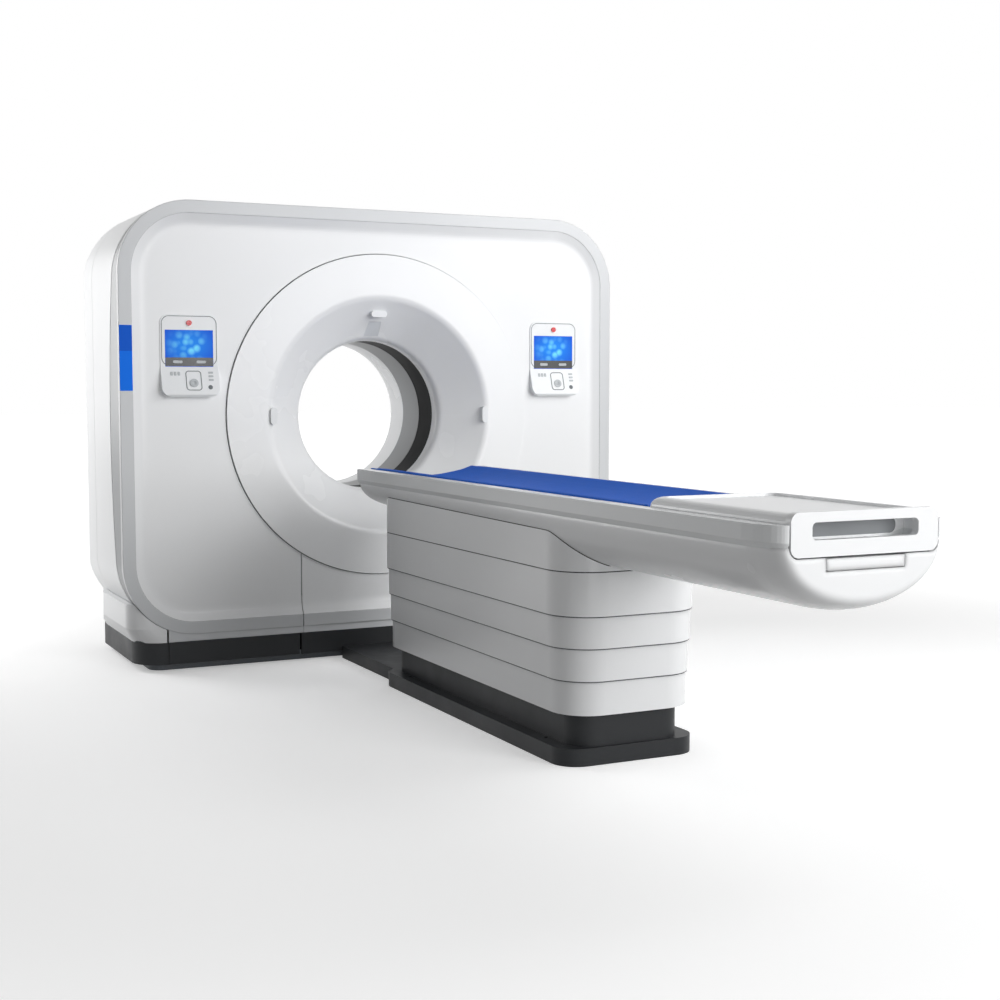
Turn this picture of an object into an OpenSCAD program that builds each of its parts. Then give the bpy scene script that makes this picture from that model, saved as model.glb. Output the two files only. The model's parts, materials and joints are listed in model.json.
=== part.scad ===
// CT scanner with its patient table.
// +Z is up and the floor is Z = 0. The origin lies on the floor under the isocentre:
// the rotor turns about the Y axis through it, the gantry's front faces -Y and the
// table stands in front of it, with the cradle sliding along +Y into the bore.

/* [Gantry cover] */
// Width of the gantry over its bezel
gantry_w = 2428; // [2200:4:2600]
// Height of the front cover's top edge
cover_top = 2067; // [1950:1:2150]
// Height of the front cover's bottom edge
cover_bottom = 162; // [140:1:200]
// Corner radius of the cover
cover_r = 320; // [240:5:380]
// Depth of the gantry from bezel to rear face
gantry_d = 880; // [820:5:960]
// Distance from the bezel's front plane to the scan plane
front_d = 320; // [300:1:340]
// Width of the bezel band
band_w = 54; // [40:1:70]
// Depth of the dished face behind the bezel
dish_d = 22; // [14:1:30]
// Wall of the covers
wall = 6; // [4:0.5:8]
// Gap at the seams between covers
seam = 4; // [3:0.5:5]

/* [Ring and bore] */
// Height of the isocentre
iso_z = 1124; // [1080:1:1150]
// Bore radius
bore_r = 350; // [340:1:360]
// Radius of the round centre cover
ring_r = 741; // [700:1:760]
// Radius at which the centre cover starts to fall into the bore
crest_r = 560; // [540:1:590]
// Slope of the funnel from the front plane
funnel_a = 40; // [36:1:44]
// Width of the scan window
window_w = 164; // [120:2:200]

/* [Plinth] */
// Distance of the plinth's ends from the gantry's sides
plinth_in = 58; // [45:1:80]
// Height of the plinth's top edge
plinth_top = 132; // [120:1:140]
// Height of the gap under the plinth
plinth_gap = 34; // [20:1:45]
// Distance of the foot's outer face from the gantry's side
foot_in = 24; // [15:1:40]
// Top of the white foot
foot_top = 302; // [285:1:320]
// Distance of the outer upright seams from the gantry's sides
seam_side = 191; // [170:1:210]
// Distance of the service panel's seams from the middle
seam_in = 399; // [380:1:420]
// Distance of the plinth's inner seams from the middle
plinth_seam = 413; // [400:1:430]

/* [Control panels] */
// Distance of each panel's centre from the gantry's side
panel_in = 309; // [290:1:330]
// Width of a panel
panel_w = 256; // [230:1:270]
// Bottom of a panel
panel_z0 = 1212; // [1190:1:1230]
// Top of a panel
panel_z1 = 1574; // [1550:1:1590]
// How far the key field stands out at its foot
key_out = 36; // [24:1:48]
// Travel of the stop button
stop_travel = 4; // [2:0.5:5]
// Travel of the jog key
jog_travel = 3; // [2:0.5:4]

/* [Table] */
// Width of the table's rim
rim_w = 604; // [580:2:640]
// Height of the rim's top at rest
rim_top = 903; // [880:1:930]
// Thickness of the rim
rim_t = 46; // [36:1:56]
// Distance of the table's gantry end from the scan plane
table_y1 = 768; // [740:1:800]
// Length of the hull
table_l = 2962; // [2800:1:3050]
// Depth of the hull below its shoulder
hull_d = 185; // [170:1:186]
// Depth of the hull at its gantry end
hull_d1 = 118; // [105:1:135]
// Half width of the hull at its shoulder
hull_hw = 288; // [284:1:292]
// Width of the table's rounded near corners
nose_a = 62; // [56:1:70]
// Length of the table's rounded near corners
nose_b = 137; // [120:1:160]
// Half width of the channel that the cradle runs in
trough_hw = 251; // [247:1:256]
// Height of the channel's floor
trough_z = 811; // [800:1:816]

/* [Cradle] */
// Half width of the cradle
cradle_hw = 245; // [240:1:246]
// Radius of the hollow that the mattress lies in
lie_r = 649; // [600:1:700]
// Height of the mattress top at the middle
lie_z = 866; // [860:1:874]
// Thickness of the mattress
pad_t = 18; // [12:1:22]
// Radius of the cradle's underside
belly_r = 475; // [440:1:520]
// Height of the cradle's lowest line
belly_z = 817; // [816.5:0.5:820]
// Travel of the cradle into the bore
cradle_travel = 1750; // [1600:10:1800]
// Length of the raised end plate
end_l = 690; // [600:5:740]

/* [Column] */
// Distance of the column's middle from the scan plane
column_y = 1760; // [1700:1:1820]
// Width of the lowest skirt
skirt_w = 506; // [490:2:512]
// Length of the lowest skirt
skirt_l = 1642; // [1610:2:1670]
// Growth of each skirt over the one below, per side
skirt_step = 7.5; // [7:0.5:8.5]
// Corner radius of the lowest skirt
skirt_r = 130; // [110:1:150]
// Wall of a skirt
skirt_wall = 5; // [4:0.5:6]
// Bottom edges of the four skirts and the saddle at rest
skirt_z1 = 170; // [165:1:176]
// Bottom edge of the second skirt
skirt_z2 = 286; // [280:1:290]
// Bottom edge of the third skirt
skirt_z3 = 396; // [390:1:400]
// Bottom edge of the fourth skirt
skirt_z4 = 504; // [498:1:508]
// Height of the joint under the saddle
saddle_z = 653; // [646:1:654]
// Downward travel of the table
lift_down = 320; // [280:5:320]

/* [Hidden] */
$fn = 96;
// the tiny overlap that keeps a cut from ending on a face
e = 0.5;
// running fit between a turning or sliding pin and its hole, on the radius
fit = 0.05;
// clearance between parts of different bodies
clear = 0.6;
// gap between a piece and the piece that carries it
seat = 0.2;
// drop of the saddle's inner lip under its joint
lip_drop = 8;
hw = gantry_w / 2;
yf = -front_d;
yr = gantry_d - front_d;
face_y = yf + dish_d;
plinth_x = hw - plinth_in;
foot_x = hw - foot_in;
seam_out = hw - seam_side;
panel_x = hw - panel_in;
cover_t = 30;
// thickness of the plinth panels
plinth_t = 8;
// top of the steel base that carries the stator
rail_z = 150;
// the shell's inner skin laps under its neighbours
lap_t = 4;
lap_l = 12;
// side band: its rear edge is an arc that is deepest at mid height
arc_r = 2700;
arc_z = 1084;
arc_y = yf + 211;
shell_y = 240;
// the foot's side narrows towards its rear end
foot_y1 = 340;
foot_taper = 20;
// where the foot starts to draw in towards the plinth
flare_z = 196;
// half width of the dark seams of plinth and foot
seam_cut = 5;
barrel_r = 2300;
rear_r = 150;
// how far each skin lies inside the bezel's outline
band_d = 2;
shell_d = 1;
lap_d = band_d + wall + seat;
rear_t = lap_d - seat - shell_d;
// ring cover
ring_y = yf + 12;
crest_f = 52;
lip_f = 60;
lip_y = -118;
ring_end = -111;
win_y = window_w / 2;
liner_y = 285;
liner_t = 6;
rear_ring_r = 610;
// radius of the rear funnel's flare and the plane that it ends in
rear_f = 118;
rear_y = yr - 12;
// rotor
rotor_in = 372;
rotor_out = 880;
drum_y0 = 90;
drum_y1 = 116;
hub_r = 470;
hub_y1 = 236;
bearing_r = 505;
stator_y0 = 170;
stator_y1 = 232;
stator_hw = hw - 354;
stator_z1 = cover_top - 167;
stator_r = 260;
beam_x = hw - 254;
anchor_x = 900;
anchor_r = 9;
gusset_l = 58;
focus_r = 570;
detector_r = 470;
// half width inside the covers at the stator's brackets
shell_in = hw - lap_d - lap_t - seat;
// table
ty0 = -table_y1 - table_l;
ty1 = -table_y1;
shoulder_z = rim_top - rim_t - 17;
rim_hw = rim_w / 2;
// above everything on the table
over_z = rim_top + 97;
hull_wall = 12;
handle_t = 25;
handle_gap = 4;
handle_z0 = belly_z;
handle_z1 = 935;
handle_r = 26;
slot_hw = 177;
slot_r = 14;
slot_z0 = 861;
slot_z1 = 908;
lie_cz = lie_z + lie_r;
belly_cz = belly_z + belly_r;
plate_z = 931;
plate_y1 = ty0 + end_l;
plate_run = 20;
// the end plate's edge curves in by cap_run; its top has a shallow hollow inside a lip
cap_run = 34;
cap_r = 45;
cap_lip = 10;
cap_sink = 9;
mat_y0 = plate_y1 + plate_run + 3;
paddle_hw = 130;
paddle_z0 = 779;
paddle_z1 = handle_z0 - 6;
paddle_t = 10;
paddle_gap = 2.5;
roller_r = 24;
roller_y = ty1 - 92;
roller_z = belly_z - clear - roller_r;
axle_r = 6;
pin_r = 3;
rail_x = 150;
base_hw = 266;
base_z = 60;
base_l = 1612;
base_r = 90;
bolt_x = 225;
bolt_y = 600;
bolt_r = 7;
plinth_hw = 212;
plinth_l = 1584;
plinth_r = 88;
plinth_z1 = skirt_z1 + 12;
duct_z = 56;
// height of the joint under the saddle, and width of the groove round the hull
joint_gap = 4;
groove = 3;
// where the keel starts to rise towards the gantry
keel_y = -column_y - skirt_l / 2 - 3 * skirt_step - 20;
// the table's top lies this far outside the hull
overhang = rim_hw - hull_hw;
tube_w = 190;
tube_l = 620;
tube_wall = 8;

// shapes used by several pieces

// sides that a circle of radius r is drawn with
function smooth(r) = r > 900 ? 720 : r > 300 ? 360 : 96;

// a cylinder along Y from y0 to y1
module cyl_y(r, y0, y1, x = 0, z = 0) {
    translate([x, y0, z]) rotate([-90, 0, 0]) cylinder(r = r, h = y1 - y0, $fn = smooth(r));
}

// a cylinder along X from x0 to x1
module cyl_x(r, x0, x1, y = 0, z = 0) {
    translate([x0, y, z]) rotate([0, 90, 0]) cylinder(r = r, h = x1 - x0, $fn = smooth(r));
}

// a box given by its two corners
module span(a, b) {
    translate(a) cube(b - a);
}

// an upright plate in the XZ plane with round corners
module plate_y(x0, x1, z0, z1, r, y0, y1) {
    span([x0 + r, y0, z0], [x1 - r, y1, z1]);
    span([x0, y0, z0 + r], [x1, y1, z1 - r]);
    for (x = [x0 + r, x1 - r], z = [z0 + r, z1 - r]) cyl_y(r, y0, y1, x, z);
}

// a flat plate in the XY plane with round corners
module plate_z(x0, x1, y0, y1, r, z0, z1) {
    span([x0 + r, y0, z0], [x1 - r, y1, z1]);
    span([x0, y0 + r, z0], [x1, y1 - r, z1]);
    for (x = [x0 + r, x1 - r], y = [y0 + r, y1 - r])
        translate([x, y, z0]) cylinder(r = r, h = z1 - z0);
}

// a profile given as [y, z] points, swept along X
module sweep_x(points, x0, x1) {
    translate([x0, 0, 0]) rotate([90, 0, 90]) linear_extrude(x1 - x0) polygon(points);
}

// a profile given as [x, z] points, swept along Y
module sweep_y(points, y0, y1) {
    translate([0, y1, 0]) rotate([90, 0, 0]) linear_extrude(y1 - y0) polygon(points);
}

// a profile given as [radius, y] points, turned about the bore axis
module turn(points) {
    translate([0, 0, iso_z]) rotate([-90, 0, 0]) rotate_extrude($fn = 360) polygon(points);
}

module bore_ring(r0, r1, y0, y1) {
    turn([[r0, y0], [r1, y0], [r1, y1], [r0, y1]]);
}

// gantry covers

// the cover's outline, drawn in by d
module cover_outline(d, y0, y1) {
    plate_y(-hw + d, hw - d, cover_bottom + d, cover_top - d, cover_r - d, y0, y1);
}

// the same outline as points, with 32 steps in each corner
function cover_plan(d) = [
    for (c = [[1, 1, 0], [-1, 1, 90], [-1, -1, 180], [1, -1, 270]], i = [0:32])
        let(a = c[2] + i * 90 / 32, mid = (cover_top + cover_bottom) / 2,
            high = (cover_top - cover_bottom) / 2 - cover_r)
        [c[0] * (hw - cover_r) + (cover_r - d) * cos(a), mid + c[1] * high + (cover_r - d) * sin(a)]];

module dish_slice(d, depth) {
    translate([0, yf + depth, 0]) rotate([90, 0, 0]) linear_extrude(0.01) polygon(cover_plan(d));
}

// the dished face: a slope behind the bezel that flattens towards the middle, as [inset, depth]
slope = [[0, -e], [3, 0.09 * dish_d], [33, 0.73 * dish_d], [43, 0.88 * dish_d],
    [53, 0.955 * dish_d], [64, 0.99 * dish_d], [80, dish_d]];
// inset of the hollow behind the face
back_in = band_w + 92;

module dish() {
    for (i = [0:5]) hull() {
        dish_slice(band_w + slope[i][0], slope[i][1]);
        dish_slice(band_w + slope[i + 1][0], slope[i + 1][1]);
    }
}

module front_face() {
    difference() {
        cover_outline(0, yf, yf + cover_t);
        dish();
        cover_outline(back_in, face_y + wall, yf + cover_t + e);
        cyl_y(ring_r + seam, yf - e, yf + cover_t + e, 0, iso_z);
    }
}

module front_cover() {
    color("#e8eaec") difference() {
        front_face();
        span([-seam_in - seam / 2, yf - e, 0], [seam_in + seam / 2, yf + cover_t + e, iso_z - 500]);
    }
}

module service_panel() {
    x = seam_in - seam / 2;
    color("#e8eaec") difference() {
        span([-x, yf, cover_bottom], [x, yf + cover_t, iso_z - 500]);
        sweep_x(concat([for (q = slope) [yf + q[1], cover_bottom + band_w + q[0]]],
            [[face_y, iso_z], [yf - 2 * e, iso_z]]), -x - e, x + e);
        span([-x - e, face_y + wall, cover_bottom + back_in], [x + e, yf + cover_t + e, iso_z]);
        cyl_y(ring_r + seam, yf - e, yf + cover_t + e, 0, iso_z);
    }
}

// funnel profile: flat ring, crest, cone and lip, drawn at an offset d behind the surface
function funnel(d) = concat(
    [[ring_r, ring_y + d], [crest_r, ring_y + d]],
    [for (i = [1:6]) let(a = i * funnel_a / 6)
        [crest_r - (crest_f - d) * sin(a), ring_y + crest_f - (crest_f - d) * cos(a)]],
    [for (i = [0:6]) let(a = funnel_a + i * (90 - funnel_a) / 6)
        [bore_r + lip_f - (lip_f - d) * sin(a), lip_y - (lip_f - d) * cos(a)]],
    [[bore_r + d, ring_end]]);

module ring_cover() {
    color("#f2f3f4") difference() {
        turn(concat(funnel(0), [for (i = [len(funnel(0)) - 1:-1:0]) funnel(wall)[i]]));
        for (s = [-1, 1]) pad_seat(s * pad_r, iso_z, pad_w, pad_h);
        pad_seat(0, iso_z + top_pad_r, pad_h, pad_w);
        light_prism(0.6);
    }
    color("#f2f3f4") {
        bore_ring(ring_r - 12, ring_r, ring_y + wall - e, face_y + wall + 12);
        // flange that laps behind the front face
        bore_ring(ring_r - e, ring_r + 24, face_y + wall + seat, face_y + wall + 8);
    }
}

// pads on the funnel
pad_r = 527;
top_pad_r = 470;
pad_w = 30;
pad_h = 76;

module pill(x, z, w, h, y0, y1) {
    r = min(w, h) / 2 - 0.01;
    plate_y(x - w / 2, x + w / 2, z - h / 2, z + h / 2, r, y0, y1);
}

module pad_seat(x, z, w, h) {
    pill(x, z, w + 2 * seat, h + 2 * seat, yf, -180);
}

module pad_left() {
    color("#eef0f1") pill(-pad_r, iso_z, pad_w, pad_h, ring_y - 10, ring_y + 40);
}

module pad_right() {
    color("#eef0f1") pill(pad_r, iso_z, pad_w, pad_h, ring_y - 10, ring_y + 40);
}

module pad_top() {
    color("#eef0f1") pill(0, iso_z + top_pad_r, pad_h, pad_w, ring_y + 32, ring_y + 100);
}

// a wedge-shaped window in the top of the funnel
module light_prism(d) {
    sweep_y([[-30 - d, iso_z + 436 + d], [30 + d, iso_z + 436 + d],
        [36 + d, iso_z + 372 - d], [-36 - d, iso_z + 372 - d]], ring_y, -100);
}

module light_panel() {
    color("#dfe2e4") intersection() {
        light_prism(0);
        turn(concat(funnel(0.6), [for (i = [len(funnel(0)) - 1:-1:0]) funnel(wall)[i]]));
    }
}

// the space in front of the arc that ends the side band
module before_arc(d) {
    cyl_x(arc_r + d, -hw - 10, hw + 10, arc_y - arc_r, arc_z);
}

module side_band() {
    color("#8f9296") intersection() {
        difference() {
            cover_outline(band_d, yf + cover_t - 14, arc_y + 30);
            cover_outline(band_d + wall, yf + cover_t - 15, arc_y + 31);
            cover_outline(-1, yf, yf + cover_t + 0.01);
        }
        before_arc(0);
    }
}

// the whole outer form of the covers, drawn in by d
module gantry_form(d, y0) {
    intersection() {
        cover_outline(d, y0, yr - d);
        plate_z(-hw + d, hw - d, -1500, yr - d, rear_r - d, cover_bottom, cover_top);
        cyl_x(barrel_r - d, -hw, hw, yr - barrel_r, arc_z);
    }
}

// the covers are open below, where the stator stands on the base
module open_bottom() {
    span([-stator_hw - 20, yf + cover_t + 20, 0],
        [stator_hw + 20, stator_y1 + gusset_l + 20, cover_bottom + lap_d + lap_t + 5]);
}

module shell_cover() {
    color("#f0f1f2") difference() {
        union() {
            difference() {
                cover_outline(shell_d, yf + cover_t, shell_y);
                cover_outline(lap_d + e, yf + cover_t - e, shell_y + e);
                before_arc(seam);
            }
            // the inner skin laps under the side band and under the rear cover
            difference() {
                cover_outline(lap_d, yf + cover_t, shell_y + seam + lap_l);
                cover_outline(lap_d + lap_t, yf + cover_t - e, shell_y + seam + lap_l + e);
            }
        }
        open_bottom();
    }
}

module rear_cover() {
    color("#f0f1f2") difference() {
        gantry_form(shell_d, shell_y + seam);
        gantry_form(shell_d + rear_t, shell_y + seam - e);
        cyl_y(rear_ring_r + seat, 0, yr + e, 0, iso_z);
        open_bottom();
    }
}

// rear funnel profile at an offset d behind the surface
function flare(d) = concat(
    [[bore_r + d, liner_y]],
    [for (i = [0:9]) let(a = i * 10)
        [bore_r + rear_f - (rear_f - d) * cos(a), rear_y - rear_f + (rear_f - d) * sin(a)]],
    [[rear_ring_r - d, rear_y - d], [rear_ring_r - d, rear_y - 100]]);

module rear_ring() {
    color("#eceeef") turn(concat(flare(0), [for (i = [len(flare(0)) - 1:-1:0]) flare(wall)[i]]));
}

module liner_front() {
    color("#d9dcde") bore_ring(bore_r, bore_r + liner_t, ring_end, -win_y);
}

module scan_window() {
    color("#26282b") bore_ring(bore_r + 0.8, bore_r + 4, -win_y, win_y);
}

module liner_rear() {
    color("#cfd2d4") bore_ring(bore_r, bore_r + liner_t, win_y, liner_y);
}

module accent_strip() {
    color("#1f66d0") plate_y(-hw + 1, -hw + band_w + 2, 1239, 1521, 2, yf - 1.2, yf);
}

// plinth and base

module base_frame() {
    color("#3a3d40") difference() {
        union() {
            plate_z(-plinth_x + 70, plinth_x - 70, yf + 60, yr - 100, 60, 0, plinth_gap + 1);
            plinth_form(plinth_t + seat, plinth_gap, plinth_gap + 20);
            for (x = [-beam_x, beam_x])
                span([x - 60, yf + 90, plinth_gap], [x + 60, yr - 100, rail_z]);
            for (y = [yf + 110, stator_y0 + 60, yr - 130])
                span([-beam_x, y - 40, plinth_gap], [beam_x, y + 40, rail_z]);
        }
        for (x = [-anchor_x, anchor_x], y = [yf + 110, yr - 130])
            translate([x, y, -e]) cylinder(r = anchor_r, h = rail_z + 50);
    }
}

// the dark panel round the foot of the gantry, drawn in by d
module plinth_form(d, z0, z1) {
    plate_z(-plinth_x + d, plinth_x - d, yf + 1 + d, yr - 60 - d, 128 - d, z0, z1);
}

module plinth_wall() {
    difference() {
        plinth_form(0, plinth_gap, plinth_top);
        plinth_form(plinth_t, plinth_gap - e, plinth_top + e);
        for (s = [-1, 1])
            span([s * seam_out - seam_cut, yf - e, 0], [s * seam_out + seam_cut, yf + 5, plinth_top + e]);
    }
}

// the part of the plinth on one side of the middle, with the rear half behind it
module plinth_side(s) {
    color("#2b2d30") intersection() {
        plinth_wall();
        union() {
            span(s > 0 ? [plinth_seam + seam_cut, yf, 0] : [-plinth_x, yf, 0],
                s > 0 ? [plinth_x, yr, plinth_top] : [-plinth_seam - seam_cut, yr, plinth_top]);
            span(s > 0 ? [2, 100, 0] : [-plinth_x, 100, 0],
                s > 0 ? [plinth_x, yr, plinth_top] : [-2, yr, plinth_top]);
        }
    }
}

module plinth_left() {
    plinth_side(-1);
}

module plinth_right() {
    plinth_side(1);
}

module plinth_centre() {
    color("#2b2d30") intersection() {
        plinth_wall();
        span([-plinth_seam + seam_cut, yf - e, 0], [plinth_seam - seam_cut, 0, plinth_top + e]);
    }
}

module apron() {
    color("#c9cccf") difference() {
        span([-seam_out + seam_cut, yf + 5, plinth_top],
            [seam_out - seam_cut, yf + 17, cover_bottom + 34]);
        cover_outline(-seat, yf, yf + 40);
        for (s = [-1, 1])
            span([s * seam_in - 3, yf, 0], [s * seam_in + 3, yf + 9, cover_bottom + 40]);
    }
}

// white foot that wraps the lower corner of the covers
module foot(s) {
    color("#eef0f1") difference() {
        intersection() {
            union() {
                hull() {
                    plate_z(-plinth_x, plinth_x, yf + 1, yr - 60, 128, plinth_top, plinth_top + 0.01);
                    plate_z(-foot_x, foot_x, yf + 1, yr - 60, 100, flare_z, flare_z + 0.01);
                }
                plate_z(-foot_x, foot_x, yf + 1, yr - 60, 100, flare_z, foot_top);
            }
            span(s > 0 ? [seam_out + seam_cut, yf, 0] : [-foot_x - e, yf, 0],
                s > 0 ? [foot_x + e, foot_y1, foot_top] : [-seam_out - seam_cut, foot_y1, foot_top]);
        }
        linear_extrude(foot_top + e)
            polygon([[s * (foot_x + e), shell_y - 10], [s * (foot_x - foot_taper), foot_y1 + e],
                [s * (foot_x + e), foot_y1 + e]]);
        cover_outline(-2, yf - e, yr);
        plate_z(-foot_x + 40, foot_x - 40, yf + 30, yr, 60, 0, foot_top + e);
    }
}

module foot_left() {
    foot(-1);
}

module foot_right() {
    foot(1);
}

// control panels
panel_t = 4;
screen_hw = 106.5;
screen_z0 = panel_z0 + 132;
screen_z1 = panel_z1 - 70;
key_z = panel_z0 + 130;
key_a = atan(key_out / (key_z - panel_z0 - 10));
stop_r = 12;
stop_z = panel_z1 - 39;
jog_r = 19;
jog_z = panel_z0 + 60;
jog_in = 6;

module panel(s) {
    x = s * panel_x;
    color("#e9ebed") difference() {
        intersection() {
            plate_y(x - panel_w / 2, x + panel_w / 2, panel_z0, panel_z1, 42,
                face_y - 60, face_y);
            sweep_x([[face_y, panel_z1 + 1], [face_y - panel_t, panel_z1 + 1],
                [face_y - panel_t, key_z], [face_y - panel_t - key_out, panel_z0 + 10],
                [face_y - key_out + 3, panel_z0 - 1],
                [face_y, panel_z0 - 1]], x - panel_w, x + panel_w);
        }
        screen_plate(x, 0.5, face_y - panel_t - e);
        cyl_y(stop_r + fit, face_y - panel_t - e, face_y + e, x, stop_z);
        jog_place(x) cylinder(r = jog_r + fit, h = 2 * (jog_in + jog_travel + 1), center = true);
    }
}

// the jog key's seat: local +Z points out of the tilted key field
module jog_place(x) {
    translate([x + 14, face_y - panel_t - (key_z - jog_z) * tan(key_a), jog_z])
        rotate([90 - key_a, 0, 0]) children();
}

module panel_left() {
    panel(-1);
}

module panel_right() {
    panel(1);
}

// the screen's plate at a gap d round it, from y0 to the floor of its pocket
module screen_plate(x, d, y0) {
    plate_y(x - screen_hw - d, x + screen_hw + d, screen_z0 - d, screen_z1 + d, 2,
        y0, face_y - panel_t + 1.5);
}

module screen(s) {
    x = s * panel_x;
    color("#2a7fe0") screen_plate(x, 0, face_y - panel_t);
}

module screen_left() {
    screen(-1);
}

module screen_right() {
    screen(1);
}

module stop_button(s) {
    color("#c8202a")
        cyl_y(stop_r, face_y - panel_t - 1.5 - stop_travel, face_y - clear - stop_travel,
            s * panel_x, stop_z);
}

module stop_left() {
    stop_button(-1);
}

module stop_right() {
    stop_button(1);
}

module jog(s) {
    color("#d6d9dc") jog_place(s * panel_x) difference() {
        translate([0, 0, -jog_in]) cylinder(r = jog_r, h = jog_in + 1 + jog_travel);
        translate([0, 0, 14]) sphere(r = 14);
    }
}

module jog_left() {
    jog(-1);
}

module jog_right() {
    jog(1);
}

// stator and rotor

module stator_frame() {
    color("#8a9097") difference() {
        union() {
            plate_y(-stator_hw, stator_hw, rail_z, stator_z1, stator_r, stator_y0, stator_y1);
            for (s = [-1, 1])
                span([s * (stator_hw - 60) - 60, stator_y0 - 20, rail_z],
                    [s * (stator_hw - 60) + 60, stator_y1 + gusset_l, 560]);
            // brackets that carry the covers
            for (z = [640, 1560])
                span([-shell_in, stator_y0 + 6, z], [shell_in, stator_y0 + 26, z + 60]);
        }
        cyl_y(bearing_r + fit, stator_y0 - e, stator_y1 + e, 0, iso_z);
        for (s = [-1, 1])
            plate_y(s * 690 - 90, s * 690 + 90, 1640, 1780, 60, stator_y0 - e, stator_y1 + e);
    }
}

module bearing_ring() {
    color("#b9bec4") bore_ring(hub_r + fit, bearing_r, stator_y0, stator_y1);
}

module rotor_drum() {
    color("#9aa1a8") difference() {
        union() {
            bore_ring(rotor_in, rotor_out, drum_y0, drum_y1);
            bore_ring(hub_r - 26, hub_r, drum_y1 - e, hub_y1);
            bore_ring(rotor_out - 14, rotor_out, drum_y0 - 60, drum_y0 + e);
        }
        for (a = [45:90:315])
            translate([0, 0, iso_z]) rotate([0, a, 0]) cyl_y(90, drum_y0 - e, drum_y1 + e, 640, 0);
    }
}

module slip_ring() {
    color("#b98a4a") bore_ring(700, 760, drum_y1, drum_y1 + 22);
}

module xray_tube() {
    color("#c4c8cc") translate([0, 0, iso_z + focus_r + 60]) difference() {
        union() {
            cyl_y(105, -85, drum_y0 - 14, 0, 0);
            span([-150, -60, -50], [150, 60, 50]);
            span([-130, drum_y0 - 20, -100], [130, drum_y0, 110]);
        }
        cyl_y(50, -90, -60, 0, 0);
    }
}

module collimator() {
    color("#70767c") difference() {
        span([-110, -70, iso_z + focus_r - 110], [110, drum_y0, iso_z + focus_r - 46]);
        span([-70, -20, iso_z + focus_r - 120], [70, 20, iso_z + focus_r]);
    }
}

module detector() {
    color("#5c6268") intersection() {
        difference() {
            cyl_y(focus_r + detector_r + 90, -70, drum_y0, 0, iso_z + focus_r);
            cyl_y(focus_r + detector_r, -71, drum_y0 + e, 0, iso_z + focus_r);
        }
        span([-430, -80, iso_z - rotor_out], [430, drum_y0, iso_z]);
    }
}

module generator() {
    color("#a7adb3") span([-790, -60, iso_z - 150], [-560, drum_y0, iso_z + 240]);
}

module power_unit() {
    color("#a7adb3") span([560, -60, iso_z - 150], [790, drum_y0, iso_z + 240]);
}

// table base and skirts

module duct() {
    color("#2b2d30")
        span([-plinth_hw, -column_y + base_l / 2 + seat, 0], [plinth_hw, yf + 1 - seat, duct_z]);
}

module base_plate() {
    color("#2f3134") difference() {
        plate_z(-base_hw, base_hw, -column_y - base_l / 2, -column_y + base_l / 2, base_r, 0, base_z);
        for (x = [-bolt_x, bolt_x], y = [-column_y - bolt_y, -column_y + bolt_y])
            translate([x, y, -e]) cylinder(r = bolt_r, h = base_z + 2);
    }
}

// the plinth's block, drawn in by d
module pedestal(d, z0, z1) {
    plate_z(-plinth_hw + d, plinth_hw - d, -column_y - plinth_l / 2 + d, -column_y + plinth_l / 2 - d,
        plinth_r - d, z0, z1);
}

module base_plinth() {
    color("#26282b") difference() {
        pedestal(0, base_z, plinth_z1);
        pedestal(10, base_z + 8, plinth_z1 + 1);
    }
}

// skirt number n, counted up from the base, from z0 to z1
module skirt(n, z0, z1) {
    w = skirt_w / 2 + (n - 1) * skirt_step;
    l = skirt_l / 2 + (n - 1) * skirt_step;
    r = skirt_r + (n - 1) * skirt_step;
    y = -column_y;
    difference() {
        plate_z(-w, w, y - l, y + l, r, z0, z1);
        plate_z(-w + skirt_wall, w - skirt_wall, y - l + skirt_wall, y + l - skirt_wall,
            r - skirt_wall, z0 - e, z1 + e);
    }
    // glide pads on the inside of the lower edge, against the skirt below
    if (n > 1 && z0 < saddle_z)
        for (s = [-1, 1], p = [-500, 500])
            span([s > 0 ? w - skirt_step + clear : -w + skirt_wall - 1, y + p - 20, z0 + 2],
                [s > 0 ? w - skirt_wall + 1 : -w + skirt_step - clear, y + p + 20, z0 + 20]);
}

// the nested heights leave room for the hull at the lowest position
nest_room = 15;
nest_z = shoulder_z - hull_d - lift_down - nest_room;

module skirt_1() {
    color("#eff1f2") skirt(1, skirt_z1, nest_z);
    // brackets that seat on the plinth's sides
    color("#8a9097")
        for (s = [-1, 1], p = [-500, 500])
            span([s > 0 ? plinth_hw + seat : -skirt_w / 2 + 3, -column_y + p - 20, skirt_z1 + 2],
                [s > 0 ? skirt_w / 2 - 3 : -plinth_hw - seat, -column_y + p + 20, plinth_z1]);
}

module skirt_2() {
    color("#eff1f2") skirt(2, skirt_z2, nest_z + lift_down / 3);
}

module skirt_3() {
    color("#eff1f2") skirt(3, skirt_z3, nest_z + lift_down * 2 / 3);
}

module skirt_4() {
    color("#eff1f2") difference() {
        skirt(4, skirt_z4, saddle_z - joint_gap);
        hull_aft(-seat);
    }
}

module saddle() {
    color("#eceeef") difference() {
        union() {
            skirt(4, saddle_z, shoulder_z);
            saddle_lip(skirt_wall - e, saddle_z);
            saddle_lip(skirt_wall + seat, saddle_z - lip_drop);
        }
        hull_aft(-seat);
        // groove along the hull in the outer half of the wall
        difference() {
            hull_aft(-groove);
            saddle_core(groove);
        }
    }
}

// the space inside the saddle's outer face, drawn in by d
module saddle_core(d) {
    w = skirt_w / 2 + 3 * skirt_step - d;
    l = skirt_l / 2 + 3 * skirt_step - d;
    plate_z(-w, w, -column_y - l, -column_y + l, skirt_r + 3 * skirt_step - d, saddle_z - 20,
        shoulder_z + 20);
}

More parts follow.
